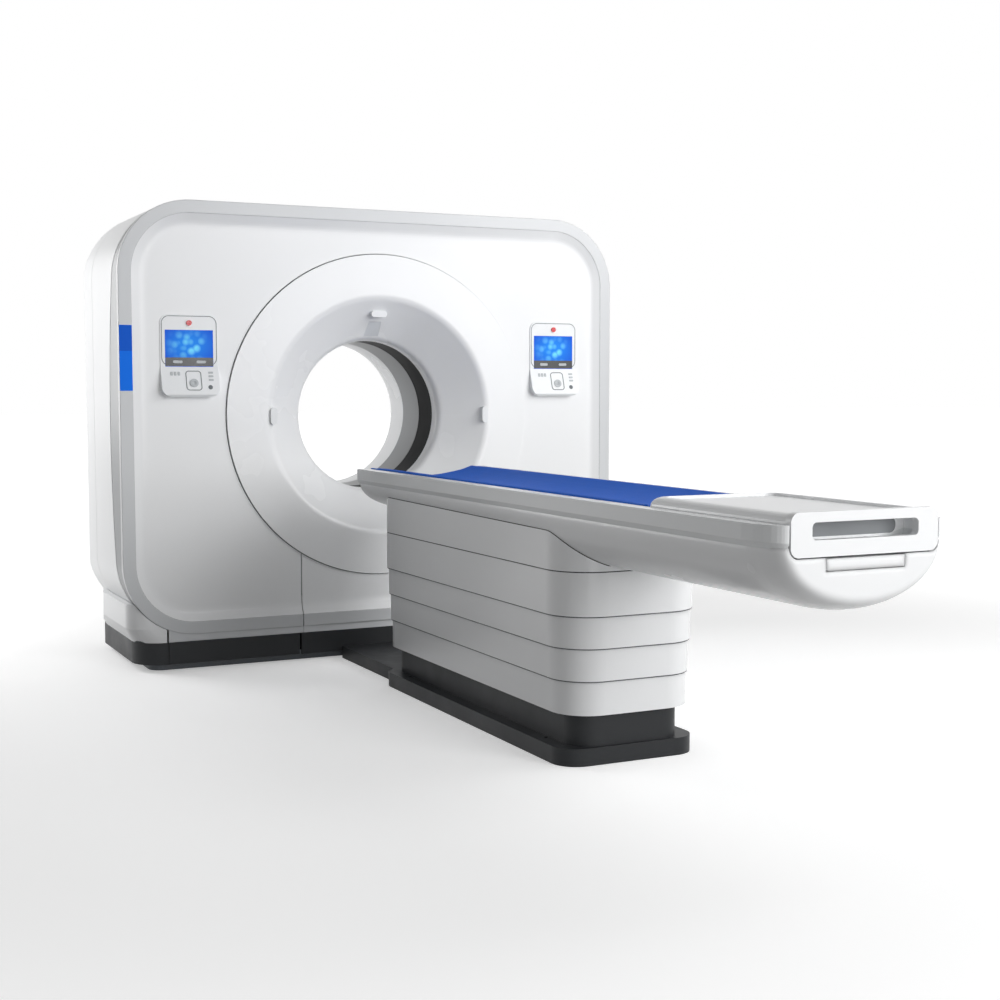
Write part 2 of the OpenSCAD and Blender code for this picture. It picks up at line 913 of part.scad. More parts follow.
// inner lip of the saddle, drawn in by d from the fourth skirt's outline
module saddle_lip(d, z0) {
    w = skirt_w / 2 + 3 * skirt_step - d;
    l = skirt_l / 2 + 3 * skirt_step - d;
    r = skirt_r + 3 * skirt_step - d;
    t = skirt_wall + 4 - d;
    difference() {
        plate_z(-w, w, -column_y - l, -column_y + l, r, z0, saddle_z + 14);
        plate_z(-w + t, w - t, -column_y - l + t, -column_y + l - t, r - t, z0 - e, saddle_z + 15);
    }
}

module tube_z(w, l, z0, z1) {
    difference() {
        plate_z(-w / 2, w / 2, -column_y - l / 2, -column_y + l / 2, 24, z0, z1);
        plate_z(-w / 2 + tube_wall, w / 2 - tube_wall, -column_y - l / 2 + tube_wall,
            -column_y + l / 2 - tube_wall, 16, z0 - e, z1 + e);
    }
}

stage = 2 * (tube_wall + clear);

module column_outer() {
    color("#8a9097") tube_z(tube_w + 2 * stage, tube_l + 2 * stage, base_z + 8, nest_z - 8);
}

module column_mid() {
    color("#9aa1a8") tube_z(tube_w + stage, tube_l + stage, 236, 476);
}

module column_inner() {
    color("#b9bec4") tube_z(tube_w, tube_l, 396, trough_z - hull_wall);
}

// hull, rim and cradle

// the boat section at offset d inside its surface, with its keel at the given depth
function boat(d, depth) = concat(
    [for (i = [0:60]) let(a = i * 3) [-(hull_hw - d) * cos(a), shoulder_z - (depth - d) * sin(a)]],
    [[hull_hw - d, shoulder_z + 4], [-hull_hw + d, shoulder_z + 4]]);

module boat_slice(d, depth, y) {
    translate([0, y, 0]) rotate([90, 0, 0]) linear_extrude(0.01) polygon(boat(d, depth));
}

// the angle in a near corner of width w at which its face has turned by the angle a
function bow(w, a) = atan2(w * sin(a), nose_b * cos(a));

// the outer form: a softly rounded near end, and a keel that rises towards the gantry
module hull_form(d) {
    hull() {
        for (i = [0:12]) let(t = bow(nose_a - overhang, i * 7.5))
            boat_slice(d + (nose_a - overhang) * (1 - sin(t)), hull_d,
                ty0 + d + nose_b * (1 - cos(t)) + 0.01);
        boat_slice(d, hull_d, keel_y);
        boat_slice(d, hull_d1, ty1 - d);
    }
}

// the rear part of that form alone
module hull_aft(d) {
    hull() {
        boat_slice(d, hull_d, keel_y);
        boat_slice(d, hull_d1, ty1 - d);
    }
}

// plan of the table's top, drawn in by dx at the sides and by dy at the near end
function top_plan(dx, dy) = concat(
    [for (i = [0:10]) let(t = bow(nose_a, 90 - i * 9))
        [-rim_hw + dx + nose_a * (1 - sin(t)), ty0 + dy + nose_b * (1 - cos(t))]],
    [for (i = [0:10]) let(t = bow(nose_a, i * 9))
        [rim_hw - dx - nose_a * (1 - sin(t)), ty0 + dy + nose_b * (1 - cos(t))]],
    [[rim_hw - dx, ty1], [-rim_hw + dx, ty1]]);

module top_slice(dx, dy, z0, z1) {
    translate([0, 0, z0]) linear_extrude(z1 - z0) polygon(top_plan(dx, dy));
}

// the channel that the cradle runs in; its near end is a recess round the handle
module trough() {
    span([-trough_hw, ty0 + handle_t + handle_gap, trough_z], [trough_hw, ty1 + 1, over_z]);
    plate_y(-cradle_hw - handle_gap, cradle_hw + handle_gap, handle_z0 - handle_gap, over_z,
        handle_r + handle_gap, ty0 - 1, ty0 + handle_t + handle_gap + 1);
}

module hull_shell() {
    color("#eceeef") difference() {
        union() {
            difference() {
                hull_form(0);
                trough();
                difference() {
                    hull_form(hull_wall);
                    span([-rim_w, ty0, trough_z - hull_wall], [rim_w, ty1, over_z]);
                }
            }
            // bearing blocks of the support roller
            for (s = [-1, 1])
                span([s * 77 - 7, roller_y - 16, trough_z - 32], [s * 77 + 7, roller_y + 16, trough_z - 6]);
        }
        // the opening for the lift column
        span([-tube_w / 2 - 30, -column_y - tube_l / 2 - 30, 400],
            [tube_w / 2 + 30, -column_y + tube_l / 2 + 30, trough_z - hull_wall - 60]);
        span([-paddle_hw - paddle_gap, ty0 - 1, paddle_z0 - paddle_gap],
            [paddle_hw + paddle_gap, ty0 + 40, handle_z0 - 1]);
        span([-70, roller_y - 30, trough_z - 33], [70, roller_y + 30, trough_z + 1]);
        cyl_x(axle_r + fit, -80, 80, roller_y, roller_z);
        cyl_x(pin_r + fit, -paddle_hw - 9, paddle_hw + 9, ty0 + paddle_t / 2, paddle_z1 - 5);
    }
}

module rim() {
    color("#d8dbdd") difference() {
        union() {
            top_slice(0, 0, rim_top - rim_t, rim_top);
            hull() {
                top_slice(0, 0, rim_top - rim_t, rim_top - rim_t + 0.01);
                top_slice(overhang - 2, 0, shoulder_z, shoulder_z + 0.01);
            }
        }
        trough();
        hull_form(-0.01);
    }
}

module glide_rails() {
    color("#e6e8ea") for (s = [-1, 1])
        span([s * rail_x - 15, ty0 + handle_t + 2 * handle_gap, trough_z],
            [s * rail_x + 15, ty1 - 20, belly_z - clear]);
}

module roller() {
    color("#4a4f54") {
        cyl_x(roller_r, -60, 60, roller_y, roller_z);
        cyl_x(axle_r, -78, 78, roller_y, roller_z);
    }
}

module paddle() {
    color("#e4e7e9") {
        span([-paddle_hw, ty0, paddle_z0], [paddle_hw, ty0 + paddle_t, paddle_z1]);
        cyl_x(pin_r, -paddle_hw - 8, paddle_hw + 8, ty0 + paddle_t / 2, paddle_z1 - 5);
    }
}

// the hollow in which the mattress lies, at radius r about the cradle's own axis
module lie(r, y0, y1) {
    cyl_y(r, y0, y1, 0, lie_cz);
}

module cradle_tray() {
    color("#dfe2e4") difference() {
        union() {
            difference() {
                intersection() {
                    span([-cradle_hw, ty0 + handle_t, belly_z], [cradle_hw, ty1, lie_cz]);
                    cyl_y(belly_r, ty0 + handle_t, ty1, 0, belly_cz);
                }
                lie(lie_r + pad_t, ty0 - 1, ty1 + 1);
            }
            // the carriage that runs on the glide rails
            span([-cradle_hw + 60, ty0 + 40, belly_z],
                [cradle_hw - 60, ty1 - cradle_travel - 90, belly_z + 26]);
        }
        plate_y(-slot_hw - 8, slot_hw + 8, slot_z0 - 6, slot_z1 + 4, slot_r, ty0 - 1, ty0 + 70);
    }
}

module mattress() {
    color("#2f5fc0") intersection() {
        span([-cradle_hw + 2, mat_y0, lie_z - pad_t], [cradle_hw - 2, ty1 + 2, lie_z + 60]);
        difference() {
            lie(lie_r + pad_t, mat_y0, ty1);
            lie(lie_r, mat_y0 - 1, ty1 + 1);
        }
    }
}

// the end plate's plan, w to each side and up to y1, with two round corners
module cap_plan(w, y1) {
    y0 = ty0 + handle_t - 10;
    translate([-w, y0]) square([2 * w, y1 - cap_r - y0]);
    translate([-w + cap_r, y0]) square([2 * (w - cap_r), y1 - y0]);
    for (s = [-1, 1]) translate([s * (w - cap_r), y1 - cap_r]) circle(cap_r, $fn = 48);
}

// a slice of its rounded edge; u turns from 0 at the top to 90 at the foot
module cap_slice(u) {
    translate([0, 0, rim_top + clear + (plate_z - rim_top - clear) * cos(u)])
        linear_extrude(0.01)
            cap_plan(cradle_hw - cap_run * (1 - sin(u)), plate_y1 + plate_run * sin(u));
}

module end_plate() {
    color("#f3f4f5") difference() {
        union() {
            intersection() {
                translate([0, 0, lie_z - pad_t - 10]) linear_extrude(rim_top - lie_z + pad_t + 12)
                    cap_plan(cradle_hw, plate_y1 + plate_run);
                lie(lie_r + pad_t, ty0, ty1);
            }
            hull() for (i = [0:6]) cap_slice(15 * i);
        }
        // the hollow in its top
        plate_z(-cradle_hw + cap_run + cap_lip, cradle_hw - cap_run - cap_lip,
            ty0 + handle_t + cap_lip, plate_y1 - cap_lip, cap_r - cap_lip, plate_z - cap_sink, over_z);
        plate_y(-slot_hw - 8, slot_hw + 8, slot_z0 - 6, slot_z1 + 4, slot_r, ty0 - 1, ty0 + 70);
        span([-cradle_hw - handle_gap, ty0 - 1, handle_z0],
            [cradle_hw + handle_gap, ty0 + handle_t, over_z]);
    }
}

module handle() {
    color("#f3f4f5") difference() {
        plate_y(-cradle_hw, cradle_hw, handle_z0, handle_z1, handle_r, ty0, ty0 + handle_t);
        plate_y(-slot_hw, slot_hw, slot_z0, slot_z1, slot_r, ty0 - 1, ty0 + handle_t + 1);
    }
}

base_frame();
plinth_left();
plinth_centre();
plinth_right();
apron();
foot_left();
foot_right();
front_cover();
service_panel();
ring_cover();
side_band();
shell_cover();
rear_cover();
rear_ring();
liner_front();
scan_window();
liner_rear();
pad_left();
pad_right();
pad_top();
light_panel();
accent_strip();
panel_left();
panel_right();
screen_left();
screen_right();
stop_left();
stop_right();
jog_left();
jog_right();
stator_frame();
bearing_ring();
rotor_drum();
slip_ring();
xray_tube();
collimator();
detector();
generator();
power_unit();
duct();
base_plate();
base_plinth();
skirt_1();
skirt_2();
skirt_3();
skirt_4();
saddle();
column_outer();
column_mid();
column_inner();
hull_shell();  // hull
rim();
glide_rails();
roller();
paddle();
cradle_tray();
mattress();
end_plate();
handle();
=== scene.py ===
"""CT scanner with its patient table: finishes, small fittings, mattress, light and camera.

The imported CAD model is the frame. Every length in a class below is in millimetres, in the
frame of the model: +Z up, +Y along the bore, the floor at Z = 0 under the isocentre.
"""

import json
import logging
import math
from contextlib import contextmanager
from dataclasses import dataclass, field
from enum import Enum
from typing import Any, Callable, Iterator, Sequence

import bpy
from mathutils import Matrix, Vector

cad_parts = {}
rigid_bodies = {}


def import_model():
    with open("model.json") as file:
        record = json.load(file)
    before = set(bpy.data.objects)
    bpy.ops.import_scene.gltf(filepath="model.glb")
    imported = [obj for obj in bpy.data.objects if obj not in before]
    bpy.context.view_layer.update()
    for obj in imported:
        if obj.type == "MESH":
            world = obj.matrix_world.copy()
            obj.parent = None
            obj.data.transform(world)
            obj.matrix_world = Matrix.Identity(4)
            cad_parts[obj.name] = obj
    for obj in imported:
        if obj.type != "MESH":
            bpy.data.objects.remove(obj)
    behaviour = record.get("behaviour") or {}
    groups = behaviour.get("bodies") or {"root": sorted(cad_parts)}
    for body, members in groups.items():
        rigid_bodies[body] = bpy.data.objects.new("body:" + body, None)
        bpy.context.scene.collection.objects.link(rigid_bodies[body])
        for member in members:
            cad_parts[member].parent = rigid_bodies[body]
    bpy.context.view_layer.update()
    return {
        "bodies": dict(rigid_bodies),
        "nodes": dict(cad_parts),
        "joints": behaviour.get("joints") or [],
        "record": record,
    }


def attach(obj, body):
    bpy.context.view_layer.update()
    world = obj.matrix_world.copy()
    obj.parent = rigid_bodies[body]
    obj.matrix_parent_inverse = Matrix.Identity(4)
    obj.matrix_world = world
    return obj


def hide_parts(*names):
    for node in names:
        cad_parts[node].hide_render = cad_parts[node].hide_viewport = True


LOG = logging.getLogger("ct_scanner")
MM = 0.001
WHITE = "#ffffff"
Point = tuple[float, float, float]


class Body(Enum):
    """The moving bodies of the model that pieces ride on."""

    GANTRY = "gantry"
    SKIRT_2 = "skirt_2"
    SKIRT_3 = "skirt_3"
    TABLE = "table_top"
    CRADLE = "cradle"


class Side(Enum):
    """Left or right of the bore, seen from the front."""

    LEFT = -1
    RIGHT = 1


# Workshop: a few moves that every piece is made with


def linear(colour: str) -> tuple[float, float, float, float]:
    """Turn an sRGB hex colour into a linear one.

    Args:
        colour: Six hex digits after a hash sign.

    Returns:
        Red, green, blue and an alpha of 1.
    """
    parts = [int(colour[i : i + 2], 16) / 255.0 for i in (1, 3, 5)]
    red, green, blue = (
        p / 12.92 if p <= 0.04045 else ((p + 0.055) / 1.055) ** 2.4 for p in parts
    )
    return red, green, blue, 1.0


def add_node(
    tree: bpy.types.NodeTree, kind: str, sockets: dict[Any, Any] | None = None, **settings: Any
) -> bpy.types.Node:
    """Add a node with its settings and links.

    Args:
        tree: The node tree that gets the node.
        kind: The node's type.
        sockets: Input name or number to a value, or to the output socket that feeds it.
        settings: Attributes of the node itself.

    Returns:
        The new node.
    """
    node = tree.nodes.new(kind)
    for name, value in settings.items():
        setattr(node, name, value)
    for name, value in (sockets or {}).items():
        if isinstance(value, bpy.types.NodeSocket):
            tree.links.new(value, node.inputs[name])
        else:
            node.inputs[name].default_value = value
    return node


def deselect() -> None:
    """Leave edit mode and deselect everything."""
    if bpy.context.object is not None and bpy.context.object.mode != "OBJECT":
        bpy.ops.object.mode_set(mode="OBJECT")
    bpy.ops.object.select_all(action="DESELECT")


def take(piece: bpy.types.Object) -> None:
    """Make one piece the only selected one, and the active one."""
    deselect()
    piece.select_set(True)
    bpy.context.view_layer.objects.active = piece


@contextmanager
def editing(piece: bpy.types.Object) -> Iterator[None]:
    """Hold a piece in edit mode with all of it selected."""
    take(piece)
    bpy.ops.object.mode_set(mode="EDIT")
    bpy.ops.mesh.select_mode(type="FACE")
    bpy.ops.mesh.select_all(action="SELECT")
    yield
    bpy.ops.object.mode_set(mode="OBJECT")


def pick_faces(piece: bpy.types.Object, wanted: Callable[[Vector, Vector], bool]) -> int:
    """Select faces of a piece that is in edit mode, by their centre and normal.

    Args:
        piece: The piece that is being edited.
        wanted: Says of a face's centre and normal whether it is taken.

    Returns:
        The number of faces that are now selected.
    """
    bpy.ops.mesh.select_all(action="DESELECT")
    bpy.ops.object.mode_set(mode="OBJECT")
    count = 0
    for face in piece.data.polygons:
        face.select = wanted(face.center, face.normal)
        count += face.select
    bpy.ops.object.mode_set(mode="EDIT")
    return count


def named(name: str) -> bpy.types.Object:
    """Name the primitive that was just added, and bake its place into its mesh."""
    piece = bpy.context.object
    piece.name = piece.data.name = name
    take(piece)
    bpy.ops.object.transform_apply(location=True, rotation=True, scale=True)
    return piece


def round_edges(piece: bpy.types.Object, width: float, segments: int = 2) -> None:
    """Round a piece's sharp edges.

    Args:
        piece: The piece.
        width: Width of the rounding in millimetres.
        segments: Steps of the rounding.
    """
    take(piece)
    bevel = piece.modifiers.new("edges", "BEVEL")
    bevel.width, bevel.segments = width * MM, segments
    bevel.limit_method, bevel.angle_limit = "ANGLE", math.radians(40)
    bpy.ops.object.modifier_apply(modifier=bevel.name)


def finish_piece(
    piece: bpy.types.Object, material: bpy.types.Material, body: Body
) -> bpy.types.Object:
    """Smooth a piece, dress it and let it ride.

    Args:
        piece: The piece, with its place in its mesh.
        material: Its finish.
        body: The body that carries it.

    Returns:
        The same piece.
    """
    take(piece)
    bpy.ops.object.shade_smooth_by_angle(angle=math.radians(35))
    piece.data.materials.clear()
    piece.data.materials.append(material)
    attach(piece, body.value)
    LOG.info("%s rides on %s", piece.name, body.value)
    return piece


def front_plate(
    name: str, centre: Point, width: float, height: float, depth: float, radius: float,
    tilt: float = 0.0, steps: int = 6,
) -> bpy.types.Object:
    """Model a plate with round corners that faces the front.

    Args:
        name: The piece's name.
        centre: Middle of its back face.
        width: Size along X.
        height: Size along the other way of the face.
        depth: Thickness, towards the front.
        radius: Radius of its corners.
        tilt: Angle by which it leans back, in degrees.
        steps: Steps of a corner.

    Returns:
        The plate.
    """
    deselect()
    bpy.ops.mesh.primitive_plane_add(
        size=MM, location=[c * MM for c in centre], rotation=(math.radians(90 - tilt), 0, 0)
    )
    bpy.context.object.scale = (width, height, 1.0)
    plate = named(name)
    out = Vector((0, -math.cos(math.radians(tilt)), math.sin(math.radians(tilt))))
    with editing(plate):
        bpy.ops.mesh.select_mode(type="VERT")
        bpy.ops.mesh.bevel(offset=radius * MM, segments=steps, affect="VERTICES")
        bpy.ops.mesh.select_all(action="SELECT")
        bpy.ops.mesh.extrude_region_move(TRANSFORM_OT_translate={"value": out * depth * MM})
        bpy.ops.mesh.select_all(action="SELECT")
        bpy.ops.mesh.normals_make_consistent(inside=False)
    return plate


def front_frame(
    name: str, centre: Point, width: float, height: float, depth: float, radius: float,
    band: float, tilt: float = 0.0, steps: int = 8,
) -> bpy.types.Object:
    """Model a flat frame with round corners that faces the front.

    Args:
        name: The piece's name.
        centre: Middle of its back face.
        width: Outer size along X.
        height: Outer size along the other way of the face.
        depth: Thickness, towards the front.
        radius: Outer radius of its corners.
        band: Width of the frame's band.
        tilt: Angle by which it leans back, in degrees.
        steps: Steps of a corner.

    Returns:
        The frame.
    """
    frame = front_plate(name, centre, width, height, depth, radius, tilt, steps)
    out = Vector((0, -math.cos(math.radians(tilt)), math.sin(math.radians(tilt))))
    with editing(frame):
        pick_faces(frame, lambda _, normal: abs(normal.dot(out)) > 0.9)
        bpy.ops.mesh.inset(thickness=band * MM, depth=0)
        bpy.ops.mesh.bridge_edge_loops()
    return frame


def strand(name: str, points: Sequence[Point], radius: float) -> bpy.types.Object:
    """Model a thin round strand along a line, such as a bead of rubber.

    Args:
        name: The piece's name.
        points: The line that its middle follows, in millimetres.
        radius: Its radius in millimetres.

    Returns:
        The strand, as a mesh.
    """
    curve = bpy.data.curves.new(name, "CURVE")
    curve.dimensions, curve.bevel_depth, curve.bevel_resolution = "3D", radius * MM, 2
    curve.use_fill_caps = True
    line = curve.splines.new("POLY")
    line.points.add(len(points) - 1)
    for knot, point in zip(line.points, points):
        knot.co = (*(c * MM for c in point), 1.0)
    piece = bpy.data.objects.new(name, curve)
    bpy.context.collection.objects.link(piece)
    take(piece)
    bpy.ops.object.convert(target="MESH")
    return piece


# Finishes: each names its surface, some of them painted shade, and what its nodes give the eye


@dataclass(frozen=True)
class Finish:
    """A surface finish that builds its own node tree.

    Attributes:
        name: What the surface is and how it was made.
        colour: sRGB hex colour of the clean surface.
        roughness: Roughness of the shader.
        specular: Strength of its reflection, 0.5 for a plain lacquer or plastic.
    """

    name: str
    colour: str
    roughness: float
    specular: float = field(default=0.5, kw_only=True)

    def build(self) -> bpy.types.Material:
        """Make the material.

        Returns:
            The material, with its nodes.
        """
        material = bpy.data.materials.new(self.name)
        material.use_nodes = True
        tree = material.node_tree
        tree.nodes.clear()
        shader = add_node(
            tree, "ShaderNodeBsdfPrincipled",
            {"Base Color": linear(self.colour), "Roughness": self.roughness,
             "Specular IOR Level": self.specular},
        )
        place = add_node(tree, "ShaderNodeTexCoord").outputs["Object"]
        self.dress(tree, shader, place)
        add_node(tree, "ShaderNodeOutputMaterial", {"Surface": shader.outputs[0]})
        return material

    def dress(
        self, tree: bpy.types.NodeTree, shader: bpy.types.Node, place: bpy.types.NodeSocket
    ) -> None:
        """Add the surface's own detail.

        Args:
            tree: The material's tree.
            shader: Its shader.
            place: Object coordinates, in metres.
        """
        raise NotImplementedError

    def tint(
        self, tree: bpy.types.NodeTree, amount: bpy.types.NodeSocket, other: str
    ) -> bpy.types.NodeSocket:
        """Mix the finish's colour with another one.

        Args:
            tree: The material's tree.
            amount: 0 for the finish's colour, 1 for the other.
            other: The other sRGB hex colour.

        Returns:
            The mixed colour.
        """
        mix = add_node(tree, "ShaderNodeMix", data_type="RGBA")
        mix.inputs[6].default_value = linear(self.colour)
        mix.inputs[7].default_value = linear(other)
        tree.links.new(amount, mix.inputs[0])
        return mix.outputs[2]


@dataclass(frozen=True)
class PaintedMoulding(Finish):
    """Sprayed two-pack lacquer on a moulded cover: faint orange peel and a soft gloss.

    Attributes:
        shade: Colour of the slightly deeper patches of the lacquer.
        peel: Width of one dimple of the peel in millimetres; drawn coarser than the real 2 mm.
        height: Depth of the peel in millimetres.
        soften: Radius over which the light runs round the form's edges, in millimetres.
    """

    shade: str = "#eceeef"
    peel: float = 9.0
    height: float = 0.02
    soften: float = 0.0

    def dress(
        self, tree: bpy.types.NodeTree, shader: bpy.types.Node, place: bpy.types.NodeSocket
    ) -> None:
        """Add the cloudy lacquer, its peel and its uneven gloss."""
        cloud = add_node(
            tree, "ShaderNodeTexNoise",
            {"Vector": place, "Scale": 1 / (420 * MM), "Detail": 3.0, "Roughness": 0.55},
        )
        soft = add_node(
            tree, "ShaderNodeMapRange",
            {"Value": cloud.outputs[0], "From Min": 0.35, "From Max": 0.75, "To Max": 0.14},
        )
        self.paint(tree, shader, place, self.tint(tree, soft.outputs[0], self.shade))
        gloss = add_node(
            tree, "ShaderNodeMapRange",
            {"Value": cloud.outputs[0], "From Min": 0.3, "From Max": 0.7,
             "To Min": self.roughness - 0.01, "To Max": self.roughness + 0.02},
        )
        tree.links.new(gloss.outputs[0], shader.inputs["Roughness"])
        peel = add_node(
            tree, "ShaderNodeTexNoise",
            {"Vector": place, "Scale": 1 / (self.peel * MM), "Detail": 1.0},
        )
        bump = add_node(
            tree, "ShaderNodeBump",
            {"Height": peel.outputs[0], "Strength": 0.35, "Distance": self.height * MM},
        )
        if self.soften:
            edge = add_node(tree, "ShaderNodeBevel", {"Radius": self.soften * MM}, samples=6)
            tree.links.new(edge.outputs[0], bump.inputs["Normal"])
        tree.links.new(bump.outputs[0], shader.inputs["Normal"])

    def paint(
        self, tree: bpy.types.NodeTree, shader: bpy.types.Node, place: bpy.types.NodeSocket,
        colour: bpy.types.NodeSocket,
    ) -> None:
        """Lay the lacquer's colour on the form.

        Args:
            tree: The material's tree.
            shader: Its shader.
            place: Object coordinates, in metres.
            colour: The cloudy colour of the lacquer.
        """
        tree.links.new(colour, shader.inputs["Base Color"])


@dataclass(frozen=True)
class BandedMoulding(PaintedMoulding):
    """The front cover: white inside a rounded outline, and greyer in the band outside it.

    Attributes:
        band: sRGB hex colour of the band.
        middle: Height of the cover's middle in millimetres.
        half_x: Half the width inside the band, less the corner's radius.
        half_z: Half the height inside the band, less the corner's radius.
        corner: Radius of the band's inner corners.
    """

    band: str = "#d2d4d6"
    middle: float = 1114.5
    half_x: float = 894.0
    half_z: float = 632.5
    corner: float = 266.0

    def paint(
        self, tree: bpy.types.NodeTree, shader: bpy.types.Node, place: bpy.types.NodeSocket,
        colour: bpy.types.NodeSocket,
    ) -> None:
        """Lay the white inside the rounded outline and the grey outside it."""
        flat = add_node(
            tree, "ShaderNodeVectorMath",
            {0: place, 1: (1.0, 0.0, 1.0), 2: (0.0, 0.0, -self.middle * MM)},
            operation="MULTIPLY_ADD",
        )
        folded = add_node(
            tree, "ShaderNodeVectorMath", {0: flat.outputs[0]}, operation="ABSOLUTE"
        )
        beyond = add_node(
            tree, "ShaderNodeVectorMath",
            {0: folded.outputs[0], 1: (self.half_x * MM, 0.0, self.half_z * MM)},
            operation="SUBTRACT",
        )
        kept = add_node(
            tree, "ShaderNodeVectorMath", {0: beyond.outputs[0], 1: (0.0, 0.0, 0.0)},
            operation="MAXIMUM",
        )
        reach = add_node(tree, "ShaderNodeVectorMath", {0: kept.outputs[0]}, operation="LENGTH")
        outside = add_node(
            tree, "ShaderNodeMath", {0: reach.outputs["Value"], 1: self.corner * MM},
            operation="GREATER_THAN",
        )
        # the band outside the rounded outline is drawn greyer than the white inside it
        mix = add_node(tree, "ShaderNodeMix", data_type="RGBA")
        tree.links.new(outside.outputs[0], mix.inputs[0])
        tree.links.new(colour, mix.inputs[6])
        mix.inputs[7].default_value = linear(self.band)
        tree.links.new(mix.outputs[2], shader.inputs["Base Color"])


@dataclass(frozen=True)
class GrainedPlastic(Finish):
    """Moulded ABS with an etched grain that breaks up its sheen.

    Attributes:
        shade: Colour of the wiped, uneven patches.
        grain: Width of one grain in millimetres.
        height: Depth of the grain in millimetres.
    """

    shade: str = "#1c1d1f"
    grain: float = 4.0
    height: float = 0.06

    def dress(
        self, tree: bpy.types.NodeTree, shader: bpy.types.Node, place: bpy.types.NodeSocket
    ) -> None:
        """Add the etched grain and the wiped, uneven sheen."""
        grain = add_node(
            tree, "ShaderNodeTexVoronoi",
            {"Vector": place, "Scale": 1 / (self.grain * MM)}, feature="SMOOTH_F1",
        )
        wipe = add_node(
            tree, "ShaderNodeTexNoise",
            {"Vector": place, "Scale": 1 / (260 * MM), "Detail": 4.0, "Roughness": 0.6},
        )
        tree.links.new(self.tint(tree, wipe.outputs[0], self.shade), shader.inputs["Base Color"])
        sheen = add_node(
            tree, "ShaderNodeMapRange",
            {"Value": wipe.outputs[0], "From Min": 0.3, "From Max": 0.7,
             "To Min": self.roughness - 0.06, "To Max": self.roughness + 0.08},
        )
        tree.links.new(sheen.outputs[0], shader.inputs["Roughness"])
        bump = add_node(
            tree, "ShaderNodeBump",
            {"Height": grain.outputs[0], "Strength": 0.5, "Distance": self.height * MM},
        )
        tree.links.new(bump.outputs[0], shader.inputs["Normal"])


@dataclass(frozen=True)
class MachinedMetal(Finish):
    """Turned or brushed metal: fine lines along one way and a satin glint.

    Attributes:
        shade: Colour in the lines.
        pitch: Distance between the lines in millimetres, drawn coarser than the real cut.
        stretch: How many times longer than wide a line is.
        metallic: 1 for bare metal, less under a clear lacquer.
    """

    shade: str = "#6d7278"
    pitch: float = 3.0
    stretch: float = 30.0
    metallic: float = 1.0

    def dress(
        self, tree: bpy.types.NodeTree, shader: bpy.types.Node, place: bpy.types.NodeSocket
    ) -> None:
        """Add the cutting lines in colour, gloss and height."""
        shader.inputs["Metallic"].default_value = self.metallic
        along = add_node(
            tree, "ShaderNodeMapping", {"Vector": place, "Scale": (1.0, self.stretch, 1.0)}
        )
        lines = add_node(
            tree, "ShaderNodeTexNoise",
            {"Vector": along.outputs[0], "Scale": 1 / (self.pitch * self.stretch * MM),
             "Detail": 3.0},
        )
        tree.links.new(self.tint(tree, lines.outputs[0], self.shade), shader.inputs["Base Color"])
        gloss = add_node(
            tree, "ShaderNodeMapRange",
            {"Value": lines.outputs[0], "To Min": self.roughness - 0.08,
             "To Max": self.roughness + 0.1},
        )
        tree.links.new(gloss.outputs[0], shader.inputs["Roughness"])
        bump = add_node(
            tree, "ShaderNodeBump",
            {"Height": lines.outputs[0], "Strength": 0.3, "Distance": 0.03 * MM},
        )
        tree.links.new(bump.outputs[0], shader.inputs["Normal"])


@dataclass(frozen=True)
class CoatedCloth(Finish):
    """Polyurethane-coated knit, as on a wipe-clean mattress: fine weave under a slick film.

    Attributes:
        shade: Colour between the threads.
        thread: Thread spacing in millimetres, drawn coarser than the real 0.6 mm.
    """

    shade: str = "#1d4fa8"
    thread: float = 3.0

    def dress(
        self, tree: bpy.types.NodeTree, shader: bpy.types.Node, place: bpy.types.NodeSocket
    ) -> None:
        """Add the weave and the soft creases."""
        waves = [
            add_node(
                tree, "ShaderNodeTexWave",
                {"Vector": place, "Scale": 0.314 / (self.thread * MM) / 2, "Distortion": 0.4,
                 "Detail": 1.0}, bands_direction=way,
            )
            for way in ("X", "Y")
        ]
        weave = add_node(
            tree, "ShaderNodeMath", {0: waves[0].outputs[1], 1: waves[1].outputs[1]},
            operation="MULTIPLY",
        )
        crease = add_node(
            tree, "ShaderNodeTexNoise",
            {"Vector": place, "Scale": 1 / (180 * MM), "Detail": 4.0, "Roughness": 0.5},
        )
        blend = add_node(
            tree, "ShaderNodeMath",
            {0: crease.outputs[0], 1: weave.outputs[0]}, operation="MULTIPLY",
        )
        tree.links.new(self.tint(tree, blend.outputs[0], self.shade), shader.inputs["Base Color"])
        fine = add_node(
            tree, "ShaderNodeBump",
            {"Height": weave.outputs[0], "Strength": 0.4, "Distance": 0.15 * MM},
        )
        broad = add_node(
            tree, "ShaderNodeBump",
            {"Height": crease.outputs[0], "Strength": 0.5, "Distance": 4 * MM,
             "Normal": fine.outputs[0]},
        )
        tree.links.new(broad.outputs[0], shader.inputs["Normal"])


